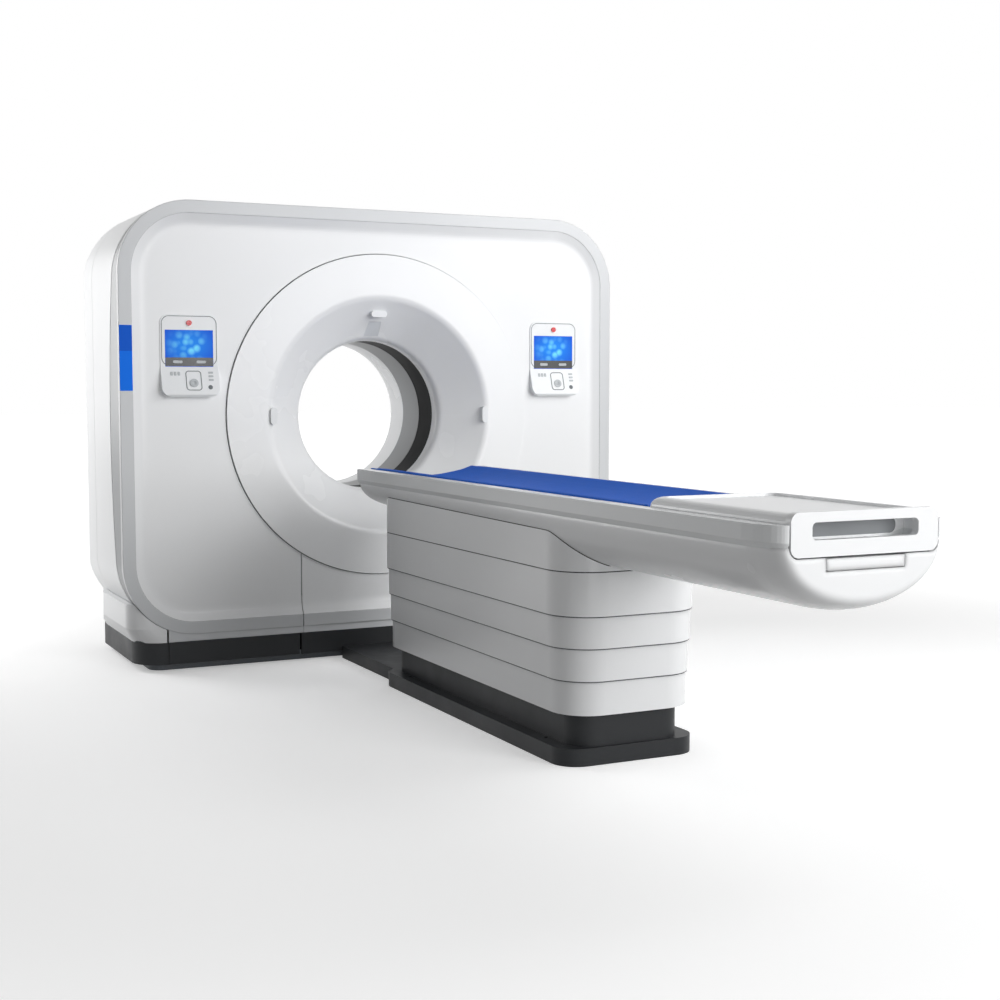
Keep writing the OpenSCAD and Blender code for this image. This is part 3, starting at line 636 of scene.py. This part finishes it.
@dataclass(frozen=True)
class LitDisplay(Finish):
    """Liquid-crystal display that is switched on, with plain shapes in three blues.

    Attributes:
        glow: sRGB hex colour of the light shapes.
        deep: sRGB hex colour of the corners.
        centre_x: Middle of the display along X in millimetres.
        centre_z: Middle of the display in height in millimetres.
    """

    glow: str = "#74d2f0"
    deep: str = "#0f4fc0"
    centre_x: float = 0.0
    centre_z: float = 1440.0

    def dress(
        self, tree: bpy.types.NodeTree, shader: bpy.types.Node, place: bpy.types.NodeSocket
    ) -> None:
        """Add the display's shapes and its light."""
        local = add_node(
            tree, "ShaderNodeMapping",
            {"Vector": place, "Location": (-self.centre_x * MM, 0.0, -self.centre_z * MM)},
        ).outputs[0]
        shapes = add_node(
            tree, "ShaderNodeTexVoronoi",
            {"Vector": local, "Scale": 1 / (34 * MM), "Randomness": 0.7, "Smoothness": 0.35},
            feature="SMOOTH_F1",
        )
        shape = add_node(
            tree, "ShaderNodeMapRange",
            {"Value": shapes.outputs[0], "From Min": 0.25, "From Max": 0.6, "To Min": 0.8,
             "To Max": 0.0},
        )
        spread = add_node(
            tree, "ShaderNodeMapping", {"Vector": local, "Scale": (9.5, 0.0, 13.0)}
        )
        centre = add_node(
            tree, "ShaderNodeVectorMath", {0: spread.outputs[0]}, operation="LENGTH"
        )
        edge = add_node(
            tree, "ShaderNodeMapRange",
            {"Value": centre.outputs["Value"], "From Min": 0.35, "From Max": 1.25},
        )
        inside = add_node(
            tree, "ShaderNodeMath", {0: 1.0, 1: edge.outputs[0]}, operation="SUBTRACT"
        )
        light = add_node(
            tree, "ShaderNodeMath", {0: shape.outputs[0], 1: inside.outputs[0]},
            operation="MULTIPLY",
        )
        lit = self.tint(tree, light.outputs[0], self.glow)
        corners = add_node(tree, "ShaderNodeMix", data_type="RGBA")
        tree.links.new(edge.outputs[0], corners.inputs[0])
        tree.links.new(lit, corners.inputs[6])
        corners.inputs[7].default_value = linear(self.deep)
        tree.links.new(corners.outputs[2], shader.inputs["Base Color"])
        tree.links.new(corners.outputs[2], shader.inputs["Emission Color"])
        shader.inputs["Emission Strength"].default_value = 0.45


class Paint:
    """The scanner's finishes, each built once."""

    def __init__(self) -> None:
        """Build every finish."""
        moulding, grained, metal = PaintedMoulding, GrainedPlastic, MachinedMetal
        self.cover = moulding("lacquered cover moulding", "#f3f4f5", 0.30).build()
        self.front = BandedMoulding("lacquered front cover", "#f3f4f5", 0.30, soften=6.0).build()
        self.bezel_side = moulding("lacquered grey side band", "#7f8285", 0.34, "#787b7e").build()
        self.ring = moulding("lacquered centre cover", "#f6f7f8", 0.26).build()
        self.liner = moulding("moulded bore liner", "#e3e5e7", 0.34, "#d8dadc").build()
        # painted shade: the rear liner, deep in the bore, is drawn dark grey for the shade that
        # falls there
        self.shaded_rear_liner = moulding("moulded rear liner", "#8a8c8e", 0.40, "#828486").build()
        self.foot = moulding("lacquered foot moulding", "#f2f3f4", 0.30).build()
        self.apron = moulding("lacquered apron strip", "#d9dbdd", 0.34, "#cfd1d3").build()
        self.skirt = moulding("lacquered lift skirt", "#f1f2f3", 0.22).build()
        self.hull = moulding("lacquered table moulding", "#f3f4f5", 0.26, soften=22.0).build()
        self.rim = moulding("lacquered table rim", "#eceeef", 0.24).build()
        self.end_plate = moulding("moulded cradle end", "#f6f7f8", 0.30).build()
        self.window = grained(
            "polyester scan window", "#141517", 0.5, "#101113", 6.0, 0.02, specular=0.05
        ).build()
        self.plinth = grained(
            "etched dark plinth", "#222427", 0.46, "#1c1e20", specular=0.3
        ).build()
        self.key = grained("moulded key", "#c3c7ca", 0.45, "#b6babd", 1.5, 0.03).build()
        # also the dark line of painted shade for the groove round each control panel
        self.key_print_and_groove_shade = grained("printed key outline", "#6b7073", 0.5, "#646a6d", 1.5, 0.01).build()
        self.panel = grained("moulded control panel", "#f6f8f9", 0.38, "#f0f2f4", 2.0, 0.02).build()
        self.pad = grained("moulded bore pad", "#eef0f1", 0.36, "#e6e8ea", 2.0, 0.02).build()
        self.bar = grained("black display mask", "#15181c", 0.25, "#101316", 3.0, 0.005).build()
        # also the grey of the strips of painted shade under the lift skirts' edges
        self.gasket_and_shade = grained("rubber gasket", "#55585b", 0.6, "#4b4e51", 2.0, 0.02).build()
        # painted shade: black strands that stand for the shade in the table's joints, groove and
        # gaps
        self.shade_seal = grained("black rubber seal", "#26282a", 0.6, "#202224", 2.0, 0.02).build()
        self.lens = grained("frosted light cover", "#e2e5e8", 0.42, "#dadde0", 2.0, 0.02).build()
        # painted shade: the grey wall at the back of the handle's slot stands for the shade inside
        # the slot
        self.grip_shade = grained("moulded grip pocket", "#85888b", 0.5, "#7d8083", 2.0, 0.02).build()
        self.roller = grained("rubber roller", "#45494d", 0.6, "#3c4044", 2.5, 0.08).build()
        self.stop = moulding("gloss red button", "#d2202c", 0.22, "#c41c28").build()
        self.accent = moulding("blue trim film", "#0a7afc", 0.45, "#0972ee", specular=0.1).build()
        self.accent_deep = moulding(
            "deep blue trim film", "#0860da", 0.45, "#0758cc", specular=0.1
        ).build()
        self.tray = moulding("composite cradle", "#e7e9ea", 0.34, "#dcdee0").build()
        self.steel = metal("painted steel frame", "#6c7176", 0.5, "#5f6469", 6.0, 1.0, 0.0).build()
        self.column = metal("ground lift tube", "#b4b8bc", 0.35, "#9fa4a9", 2.0, 40.0).build()
        self.drum = metal("machined aluminium drum", "#b9bdc1", 0.38, "#9ea3a8").build()
        self.bearing = metal("ground bearing steel", "#c4c8cc", 0.28, "#a9aeb3").build()
        self.brass = metal("turned brass ring", "#c8a05a", 0.3, "#a98242").build()
        self.housing = metal("anodised housing", "#8b9197", 0.42, "#7c8288", 2.5, 4.0).build()
        self.cloth = CoatedCloth("coated mattress cloth", "#1c66d6", 0.6, specular=0.1).build()
        self.display = {
            side: LitDisplay(f"display {side.name.lower()}", "#1c78d6", 0.35,
                             centre_x=side.value * 905.0, specular=0.1).build()
            for side in Side
        }


def dress_nodes(nodes: dict[str, bpy.types.Object], paint: Paint) -> None:
    """Give each CAD node its finish.

    Args:
        nodes: The model's nodes by name.
        paint: The finishes.
    """
    finishes: dict[bpy.types.Material, Sequence[str]] = {
        paint.cover: ("shell_cover", "rear_cover"),
        paint.front: ("front_cover", "service_panel"),
        paint.bezel_side: ("side_band",),
        paint.ring: ("ring_cover", "rear_ring"),
        paint.liner: ("liner_front",),
        paint.shaded_rear_liner: ("liner_rear",),
        paint.window: ("scan_window",),
        paint.pad: ("pad_left", "pad_right", "pad_top"),
        paint.lens: ("light_panel",),
        paint.accent: ("accent_strip",),
        paint.panel: ("panel_left", "panel_right"),
        paint.stop: ("stop_left", "stop_right"),
        paint.key: ("jog_left", "jog_right"),
        paint.foot: ("foot_left", "foot_right"),
        paint.apron: ("apron",),
        paint.plinth: ("plinth_left", "plinth_centre", "plinth_right", "duct", "base_plate",
                       "base_plinth"),
        paint.steel: ("base_frame", "stator_frame"),
        paint.bearing: ("bearing_ring", "collimator"),
        paint.drum: ("rotor_drum",),
        paint.brass: ("slip_ring",),
        paint.housing: ("xray_tube", "detector", "generator", "power_unit"),
        paint.column: ("column_outer", "column_mid", "column_inner"),
        paint.skirt: ("skirt_1", "skirt_2", "skirt_3", "skirt_4", "saddle"),
        paint.hull: ("hull", "paddle"),
        paint.rim: ("rim",),
        paint.tray: ("cradle_tray", "glide_rails"),
        paint.end_plate: ("end_plate", "handle"),
        paint.roller: ("roller",),
        paint.display[Side.LEFT]: ("screen_left",),
        paint.display[Side.RIGHT]: ("screen_right",),
    }
    for material, names in finishes.items():
        for name in names:
            nodes[name].data.materials.clear()
            nodes[name].data.materials.append(material)
    LOG.info("dressed %d nodes", sum(len(names) for names in finishes.values()))


@dataclass
class ControlPanel:
    """One control panel on the gantry's face: display mask, keys and outlines.

    Attributes:
        side: Which of the two panels it is.
        paint: The finishes.
        middle: Distance of the panel's middle from the bore's axis.
        face: Y of the panel's upper face.
        key_top: Height at which the key field starts to lean.
        key_out: How far the key field stands out at its foot.
        key_run: Height over which it leans.
    """

    side: Side
    paint: Paint
    middle: float = 905.0
    face: float = -302.0
    key_top: float = 1342.0
    key_out: float = 36.0
    key_run: float = 120.0

    @property
    def x(self) -> float:
        """Middle of the panel along X."""
        return self.side.value * self.middle

    @property
    def tilt(self) -> float:
        """Lean of the key field in degrees."""
        return math.degrees(math.atan2(self.key_out, self.key_run))

    def on_keys(self, along: float, height: float, sink: float = 0.5) -> Point:
        """Find a point on the leaning key field.

        Args:
            along: Distance from the panel's middle along X.
            height: Height above the floor.
            sink: How deep under the surface the point lies.

        Returns:
            The point, in millimetres.
        """
        lean = (self.key_top - height) * self.key_out / self.key_run
        return self.x + along, self.face - lean + sink, height

    def build(self) -> None:
        """Build every small piece of the panel."""
        label, paint = self.side.name.lower(), self.paint
        # painted shade: a dark line round the panel stands for the shade in the groove at its edge
        groove = front_frame(
            f"panel_line_{label}", (self.x, self.face + 0.3, 1457.0), 246, 218, 0.9, 34, 3.0
        )
        finish_piece(groove, paint.key_print_and_groove_shade, Body.GANTRY)
        mask = front_plate(
            f"display_mask_{label}", (self.x, self.face + 0.2, 1365.0), 212, 38, 0.9, 2.5
        )
        finish_piece(mask, paint.bar, Body.GANTRY)
        for place in (-52.0, 52.0):
            field_piece = front_plate(
                f"display_field_{label}_{'a' if place < 0 else 'b'}",
                (self.x + place, self.face - 0.5, 1365.0), 42, 12, 0.8, 5,
            )
            finish_piece(field_piece, paint.key, Body.GANTRY)
        for number, along in enumerate((-82.0, -66.0, -50.0)):
            key = front_plate(
                f"key_{label}_{number}", self.on_keys(along, 1313.0), 12, 17, 2.2, 3, self.tilt
            )
            round_edges(key, 0.8)
            finish_piece(key, paint.key, Body.GANTRY)
        pad = front_frame(
            f"jog_frame_{label}", self.on_keys(14.0, 1283.0), 70, 90, 1.6, 15, 3.4, self.tilt
        )
        finish_piece(pad, paint.key_print_and_groove_shade, Body.GANTRY)
        for number, height in enumerate((1318.0, 1302.0, 1286.0)):
            key = front_plate(
                f"side_key_{label}_{number}", self.on_keys(92.0, height), 22, 9, 2.0, 3, self.tilt
            )
            round_edges(key, 0.8)
            finish_piece(key, paint.key, Body.GANTRY)
        dot = front_plate(
            f"round_key_{label}", self.on_keys(86.0, 1254.0), 20, 20, 2.0, 9.6, self.tilt
        )
        round_edges(dot, 0.8)
        finish_piece(dot, paint.key_print_and_groove_shade, Body.GANTRY)


@dataclass
class BezelTrim:
    """The gasket line between the bezel band and the dished face, and the deep blue trim.

    Attributes:
        paint: The finishes.
        half_width: Half the gantry's width.
        bottom: Height of the cover's lower edge.
        top: Height of its upper edge.
        band: Width of the bezel band.
        corner: Radius of the cover's corners.
        front: Y of the bezel's front plane.
        axis: Height of the bore's axis.
        ring_line: Radius of the joint round the centre cover.
        panel_half: Half the distance between the service panel's upright joints.
        seam_foot: Height at which those joints leave the flat of the face.
        seam_y: Y of the rubber beads in the joints.
        bead: Radius of those beads.
        film_in: Distance from the cover's side to the middle of the trim film.
        film_z: Height of the film's middle.
        film_size: Width, height and thickness of the film, and the radius of its corners.
    """

    paint: Paint
    half_width: float = 1214.0
    bottom: float = 162.0
    top: float = 2067.0
    band: float = 54.0
    corner: float = 320.0
    front: float = -320.0
    axis: float = 1124.0
    ring_line: float = 743.0
    panel_half: float = 399.0
    seam_foot: float = 300.0
    seam_y: float = -294.5
    bead: float = 1.6
    film_in: float = 28.5
    film_z: float = 1465.0
    film_size: tuple[float, float, float, float] = (54.0, 110.0, 0.3, 1.5)

    def build(self) -> None:
        """Build the gaskets, a dark ring of painted shade round the centre cover and the upper part
        of the trim film.
        """
        line = front_frame(
            "bezel_gasket", (0.0, self.front + 2.6, (self.bottom + self.top) / 2),
            2 * (self.half_width - self.band) + 1.0, self.top - self.bottom - 2 * self.band + 1.0,
            2.4, self.corner - self.band + 0.5, 2.2, steps=24,
        )
        finish_piece(line, self.paint.gasket_and_shade, Body.GANTRY)
        deselect()
        # painted shade: a dark ring in the joint round the centre cover stands for the joint's
        # shade
        bpy.ops.mesh.primitive_torus_add(
            location=(0.0, self.seam_y * MM, self.axis * MM), rotation=(math.radians(90), 0, 0),
            major_radius=self.ring_line * MM, minor_radius=self.bead * MM,
            major_segments=180, minor_segments=8,
        )
        finish_piece(named("ring_shade_gasket"), self.paint.gasket_and_shade, Body.GANTRY)
        top = self.axis - math.sqrt(self.ring_line**2 - self.panel_half**2)
        for side in Side:
            x = side.value * self.panel_half
            seam = strand(
                f"panel_seam_{side.name.lower()}",
                [(x, self.seam_y, top - 4.0), (x, self.seam_y, self.seam_foot)], self.bead,
            )
            finish_piece(seam, self.paint.gasket_and_shade, Body.GANTRY)
        film = front_plate(
            "accent_film", (-self.half_width + self.film_in, self.front - 1.1, self.film_z),
            *self.film_size,
        )
        finish_piece(film, self.paint.accent_deep, Body.GANTRY)


@dataclass
class TableShadeSeals:
    """Painted shade on the table: dark strands in its gaps, and a dark wall behind the handle's
    grip.

    Attributes:
        paint: The finishes.
        middle: Y of the lift's middle.
        half_width: Half the fourth skirt's width.
        half_length: Half its length.
        corner: Radius of its corners.
        step: Distance from one skirt's face to the next one's.
        edges: Height of the lower edge of the second, third and fourth skirts.
        shade_strip: Height of one dark strip of painted shade under a skirt's edge.
        lap: How far such a strip stands up behind its skirt's edge.
        air: Distance from such a strip to the skirts' faces on both sides of it.
        joint: Height of the lower face of the black ring of painted shade in the saddle's joint.
        shade_seal: Height and width of that ring.
        inward: Distance from the saddle's face to the dark strands under and over it.
        hull_top: Height of the hull's upper edge.
        hull_half: Half the hull's width there.
        deep: Depth of the hull over its even part.
        shallow: Its depth at the end by the gantry.
        rise: Y at which the even part ends, and Y of the end by the gantry.
        under: How far under the hull's skin the bead's middle runs.
        bead: Radius of that bead, a black strand of painted shade in the groove under the hull.
        turns: Steps of the bead in a corner.
        grip: Middle of the dark wall of painted shade at the back of the handle's slot.
        grip_size: Width, height and thickness of that wall, and the radius of its corners.
        handle_half: Half the width of the joint round the handle.
        handle_low: Height of its lower run.
        handle_high: Height of its ends.
        handle_corner: Radius of its corners.
        handle_y: Y of its black strand of painted shade.
        handle_bead: Radius of that strand.
        handle_turns: Steps of that strand in a corner.
    """

    paint: Paint
    middle: float = -1760.0
    half_width: float = 275.5
    half_length: float = 843.5
    corner: float = 152.5
    step: float = 7.5
    edges: tuple[float, float, float] = (286.0, 396.0, 504.0)
    shade_strip: float = 4.0
    lap: float = 0.2
    air: float = 1.0
    joint: float = 649.3
    shade_seal: tuple[float, float] = (3.4, 3.0)
    inward: float = 2.0
    hull_top: float = 840.0
    hull_half: float = 288.0
    deep: float = 185.0
    shallow: float = 118.0
    rise: tuple[float, float] = (-2623.5, -768.0)
    under: float = 1.5
    bead: float = 1.8
    turns: int = 18
    grip: Point = (0.0, -3661.0, 884.5)
    grip_size: tuple[float, float, float, float] = (312.0, 44.0, 0.9, 20.0)
    handle_half: float = 247.0
    handle_low: float = 815.0
    handle_high: float = 899.0
    handle_corner: float = 28.0
    handle_y: float = -3722.0
    handle_bead: float = 1.6
    handle_turns: int = 10

    def build(self) -> None:
        """Build the grip's dark wall, and the dark strips and strands of painted shade."""
        # painted shade: a dark wall at the back of the handle's slot stands for the shade inside it
        back = front_plate("grip_shade_wall", self.grip, *self.grip_size)
        finish_piece(back, self.paint.grip_shade, Body.CRADLE)
        # painted shade: a dark strip under each skirt's lower edge stands for the shadow line there
        for number, (edge, body) in enumerate(
            zip(self.edges, (Body.SKIRT_2, Body.SKIRT_3, Body.TABLE))
        ):
            ring = self.ring(
                f"wiper_{number + 2}", edge - self.shade_strip + self.lap, self.shade_strip,
                self.step * (2 - number) + self.air, self.step - 2 * self.air,
            )
            finish_piece(ring, self.paint.gasket_and_shade, body)
        # painted shade: a black ring in the saddle's joint stands for the shade in the joint
        height, band = self.shade_seal
        shade_seal = self.ring("saddle_shade_seal", self.joint, height, self.inward, band)
        finish_piece(shade_seal, self.paint.shade_seal, Body.TABLE)
        # painted shade: a black strand along the groove under the hull stands for the groove's
        # shade
        bead = strand("hull_shade_bead", self.under_hull(), self.bead)
        finish_piece(bead, self.paint.shade_seal, Body.TABLE)
        # painted shade: a black strand in the gap round the handle stands for the gap's shade
        lip = strand("handle_shade_seal", self.round_handle(), self.handle_bead)
        finish_piece(lip, self.paint.shade_seal, Body.TABLE)

    def ring(
        self, name: str, base: float, height: float, inward: float, band: float
    ) -> bpy.types.Object:
        """Model a flat ring that follows the skirts' plan.

        Args:
            name: The piece's name.
            base: Height of its lower face.
            height: Its thickness.
            inward: Distance from the fourth skirt's face to the ring's outer edge.
            band: Its width.

        Returns:
            The ring.
        """
        return front_frame(
            name, (0.0, self.middle, base), 2 * (self.half_width - inward),
            2 * (self.half_length - inward), height, self.corner - inward, band,
            tilt=90, steps=24,
        )

    def round_handle(self) -> list[Point]:
        """Follow the joint between the handle and the hull, down one side and up the other.

        Returns:
            The line, in millimetres.
        """
        line = [(-self.handle_half, self.handle_y, self.handle_high)]
        turn = 90 / self.handle_turns
        for side, start in ((Side.LEFT, 180.0), (Side.RIGHT, 270.0 + turn)):
            middle = side.value * (self.handle_half - self.handle_corner)
            for part in range(self.handle_turns):
                angle = math.radians(start + turn * part)
                line.append((
                    middle + self.handle_corner * math.cos(angle), self.handle_y,
                    self.handle_low + self.handle_corner * (1 + math.sin(angle)),
                ))
        return line + [(self.handle_half, self.handle_y, self.handle_high)]

    def under_hull(self) -> list[Point]:
        """Follow the saddle's upper edge where it meets the hull's underside.

        Returns:
            The closed line, in millimetres.
        """
        radius = self.corner - self.inward
        across = self.half_width - self.inward - radius
        along = self.half_length - self.inward - radius
        start, end = self.rise
        line = []
        for quarter in range(4):
            for part in range(self.turns + 1):
                angle = math.radians(90 * quarter + 90 / self.turns * part)
                x = across * (1 if quarter in (0, 3) else -1) + radius * math.cos(angle)
                y = self.middle + along * (1 if quarter < 2 else -1) + radius * math.sin(angle)
                share = min(max((y - start) / (end - start), 0.0), 1.0)
                depth = self.deep + (self.shallow - self.deep) * share
                skin = depth * math.sqrt(1 - (x / self.hull_half) ** 2)
                line.append((x, y, self.hull_top - self.under - skin))
        return line + line[:1]


@dataclass
class Mattress:
    """The thin coated-cloth mattress in the cradle's hollow.

    Attributes:
        paint: The finishes.
        voxel: Size of the remeshed cells.
        swell: How far the cover may stand off the foam.
        pressure: Pressure that fills the cover.
    """

    paint: Paint
    voxel: float = 9.0
    swell: float = 3.0
    pressure: float = 3.0

    def build(self, node: bpy.types.Object) -> None:
        """Turn a copy of the CAD foam into a filled cover.

        Args:
            node: The CAD mattress.
        """
        pad = bpy.data.objects.new("mattress_cover", node.data.copy())
        bpy.context.collection.objects.link(pad)
        with editing(pad):
            bpy.ops.mesh.remove_doubles(threshold=0.05 * MM)
        remesh = pad.modifiers.new("cells", "REMESH")
        remesh.mode, remesh.voxel_size = "VOXEL", self.voxel * MM
        take(pad)
        bpy.ops.object.modifier_apply(modifier=remesh.name)
        self.fill(pad)
        smooth = pad.modifiers.new("soften", "SMOOTH")
        smooth.factor, smooth.iterations = 0.5, 3
        take(pad)
        bpy.ops.object.modifier_apply(modifier=smooth.name)
        finish_piece(pad, self.paint.cloth, Body.CRADLE)
        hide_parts("mattress")

    def fill(self, pad: bpy.types.Object) -> None:
        """Fill the cover with pressure and keep it near the foam.

        Args:
            pad: The remeshed cover.
        """
        start = [v.co.copy() for v in pad.data.vertices]
        take(pad)
        cloth = pad.modifiers.new("cover", "CLOTH")
        cloth.settings.use_pressure = True
        cloth.settings.uniform_pressure_force = self.pressure
        cloth.settings.effector_weights.gravity = 0.0
        cloth.settings.quality = 4
        scene = bpy.context.scene
        for frame in range(1, 13):
            scene.frame_set(frame)
        bpy.ops.object.modifier_apply(modifier=cloth.name)
        scene.frame_set(1)
        limit = self.swell * MM
        for vertex, place in zip(pad.data.vertices, start):
            move = vertex.co - place
            if move.length > limit:
                move *= limit / move.length
            vertex.co = place + move


@dataclass(frozen=True)
class Lamp:
    """One square soft lamp.

    Attributes:
        name: What the lamp is for.
        place: Where it hangs.
        aim: The point that it faces.
        size: Its side.
        power: Its power in watts.
    """

    name: str
    place: Point
    aim: Point
    size: float
    power: float

    def hang(self) -> None:
        """Hang the lamp and turn it to its aim."""
        data = bpy.data.lights.new(self.name, "AREA")
        data.size, data.energy = self.size * MM, self.power
        lamp = bpy.data.objects.new(self.name, data)
        lamp.location = [c * MM for c in self.place]
        way = (Vector(self.aim) - Vector(self.place)).to_track_quat("-Z", "Y")
        lamp.rotation_euler = way.to_euler()
        bpy.context.collection.objects.link(lamp)


@dataclass
class Studio:
    """Pale floor, soft lamps, a white surround and the camera.

    Attributes:
        eye: Where the camera stands.
        heading: Turn of the camera from +Y towards +X, in degrees.
        dip: How far it looks down, in degrees.
        lens: Focal length for a 36 mm sensor.
        surround: Strength of the surround's light on the object.
        near: Glow of the floor under the object, so that the shadow shows.
        lamps: The lamps.
    """

    eye: Point = (-2601.2, -6826.6, 1258.6)
    heading: float = 26.23
    dip: float = 4.34
    lens: float = 53.97
    surround: float = 0.17
    near: float = 0.36
    lamps: tuple[Lamp, ...] = (
        Lamp("front", (3000.0, -8600.0, 2900.0), (0.0, -1300.0, 900.0), 4200.0, 315.0),
        Lamp("low", (-1500.0, -9600.0, 900.0), (-300.0, -400.0, 650.0), 3000.0, 80.0),
        Lamp("right", (2600.0, -2900.0, 2900.0), (500.0, -300.0, 1000.0), 2000.0, 52.0),
        Lamp("side", (-3000.0, 2200.0, 1800.0), (-1214.0, 250.0, 1000.0), 1800.0, 70.0),
    )

    def build(self) -> None:
        """Build the camera, lamps, floor and surround."""
        self.camera()
        for lamp in self.lamps:
            lamp.hang()
        self.floor()
        self.world()

    def camera(self) -> None:
        """Place the camera at the photograph's view."""
        data = bpy.data.cameras.new("camera")
        data.lens, data.sensor_width = self.lens, 36.0
        camera = bpy.data.objects.new("camera", data)
        camera.location = [c * MM for c in self.eye]
        camera.rotation_euler = (math.radians(90 - self.dip), 0, math.radians(-self.heading))
        bpy.context.collection.objects.link(camera)
        bpy.context.scene.camera = camera

    def floor(self) -> None:
        """Lay the plain pale floor: it keeps the shadow and grows white further out."""
        deselect()
        bpy.ops.mesh.primitive_plane_add(size=120.0)
        floor = named("floor")
        material = bpy.data.materials.new("pale floor")
        material.use_nodes = True
        tree = material.node_tree
        tree.nodes.clear()
        seen = self.seen(tree)
        colour = add_node(tree, "ShaderNodeMix", data_type="RGBA")
        tree.links.new(seen, colour.inputs[0])
        colour.inputs[6].default_value = linear("#a4a4a4")
        colour.inputs[7].default_value = linear("#f4f4f4")
        matt = add_node(tree, "ShaderNodeBsdfDiffuse", {"Color": colour.outputs[2]})
        far = add_node(
            tree, "ShaderNodeVectorMath",
            {0: add_node(tree, "ShaderNodeTexCoord").outputs["Object"], 1: (0.0, -1.5, 0.0)},
            operation="DISTANCE",
        )
        level = add_node(
            tree, "ShaderNodeMapRange",
            {"Value": far.outputs["Value"], "From Min": 2.4, "From Max": 6.5,
             "To Min": self.near, "To Max": 1.0}, interpolation_type="SMOOTHSTEP",
        )
        strength = add_node(
            tree, "ShaderNodeMath", {0: level.outputs[0], 1: seen}, operation="MULTIPLY"
        )
        glow = add_node(
            tree, "ShaderNodeEmission",
            {"Color": linear(WHITE), "Strength": strength.outputs[0]},
        )
        both = add_node(tree, "ShaderNodeAddShader", {0: matt.outputs[0], 1: glow.outputs[0]})
        add_node(tree, "ShaderNodeOutputMaterial", {"Surface": both.outputs[0]})
        floor.data.materials.append(material)

    def world(self) -> None:
        """Make the surround: white behind the object, an even soft light on it."""
        world = bpy.data.worlds.new("surround")
        bpy.context.scene.world = world
        world.use_nodes = True
        tree = world.node_tree
        tree.nodes.clear()
        soft = add_node(
            tree, "ShaderNodeBackground",
            {"Color": linear(WHITE), "Strength": self.surround},
        )
        white = add_node(
            tree, "ShaderNodeBackground", {"Color": linear(WHITE), "Strength": 1.0}
        )
        mix = add_node(
            tree, "ShaderNodeMixShader",
            {0: self.seen(tree), 1: soft.outputs[0], 2: white.outputs[0]},
        )
        add_node(tree, "ShaderNodeOutputWorld", {"Surface": mix.outputs[0]})

    @staticmethod
    def seen(tree: bpy.types.NodeTree) -> bpy.types.NodeSocket:
        """Tell rays that the eye sees from rays that light the object.

        Args:
            tree: The tree of the floor or the surround.

        Returns:
            1 for a ray from the camera, a reflection or glass, else 0.
        """
        ray = add_node(tree, "ShaderNodeLightPath")
        direct = add_node(
            tree, "ShaderNodeMath",
            {0: ray.outputs["Is Camera Ray"], 1: ray.outputs["Is Glossy Ray"]}, operation="MAXIMUM",
        )
        through = add_node(
            tree, "ShaderNodeMath",
            {0: direct.outputs[0], 1: ray.outputs["Is Transmission Ray"]}, operation="MAXIMUM",
        )
        return through.outputs[0]


def corners(box: tuple[Sequence[float], Sequence[float]]) -> list[list[float]]:
    """Turn a box into plain lists."""
    return [[float(c) for c in corner] for corner in box]


def main() -> None:
    """Load the frame, dress it and build every piece around it."""
    logging.basicConfig(level=logging.INFO, format="%(message)s")
    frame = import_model()
    bpy.context.scene.view_settings.view_transform = "Standard"
    paint = Paint()
    Studio().build()
    dress_nodes(frame["nodes"], paint)
    BezelTrim(paint).build()
    TableShadeSeals(paint).build()
    for side in Side:
        ControlPanel(side, paint).build()
    Mattress(paint).build(frame["nodes"]["mattress"])


if __name__ == "__main__":
    main()
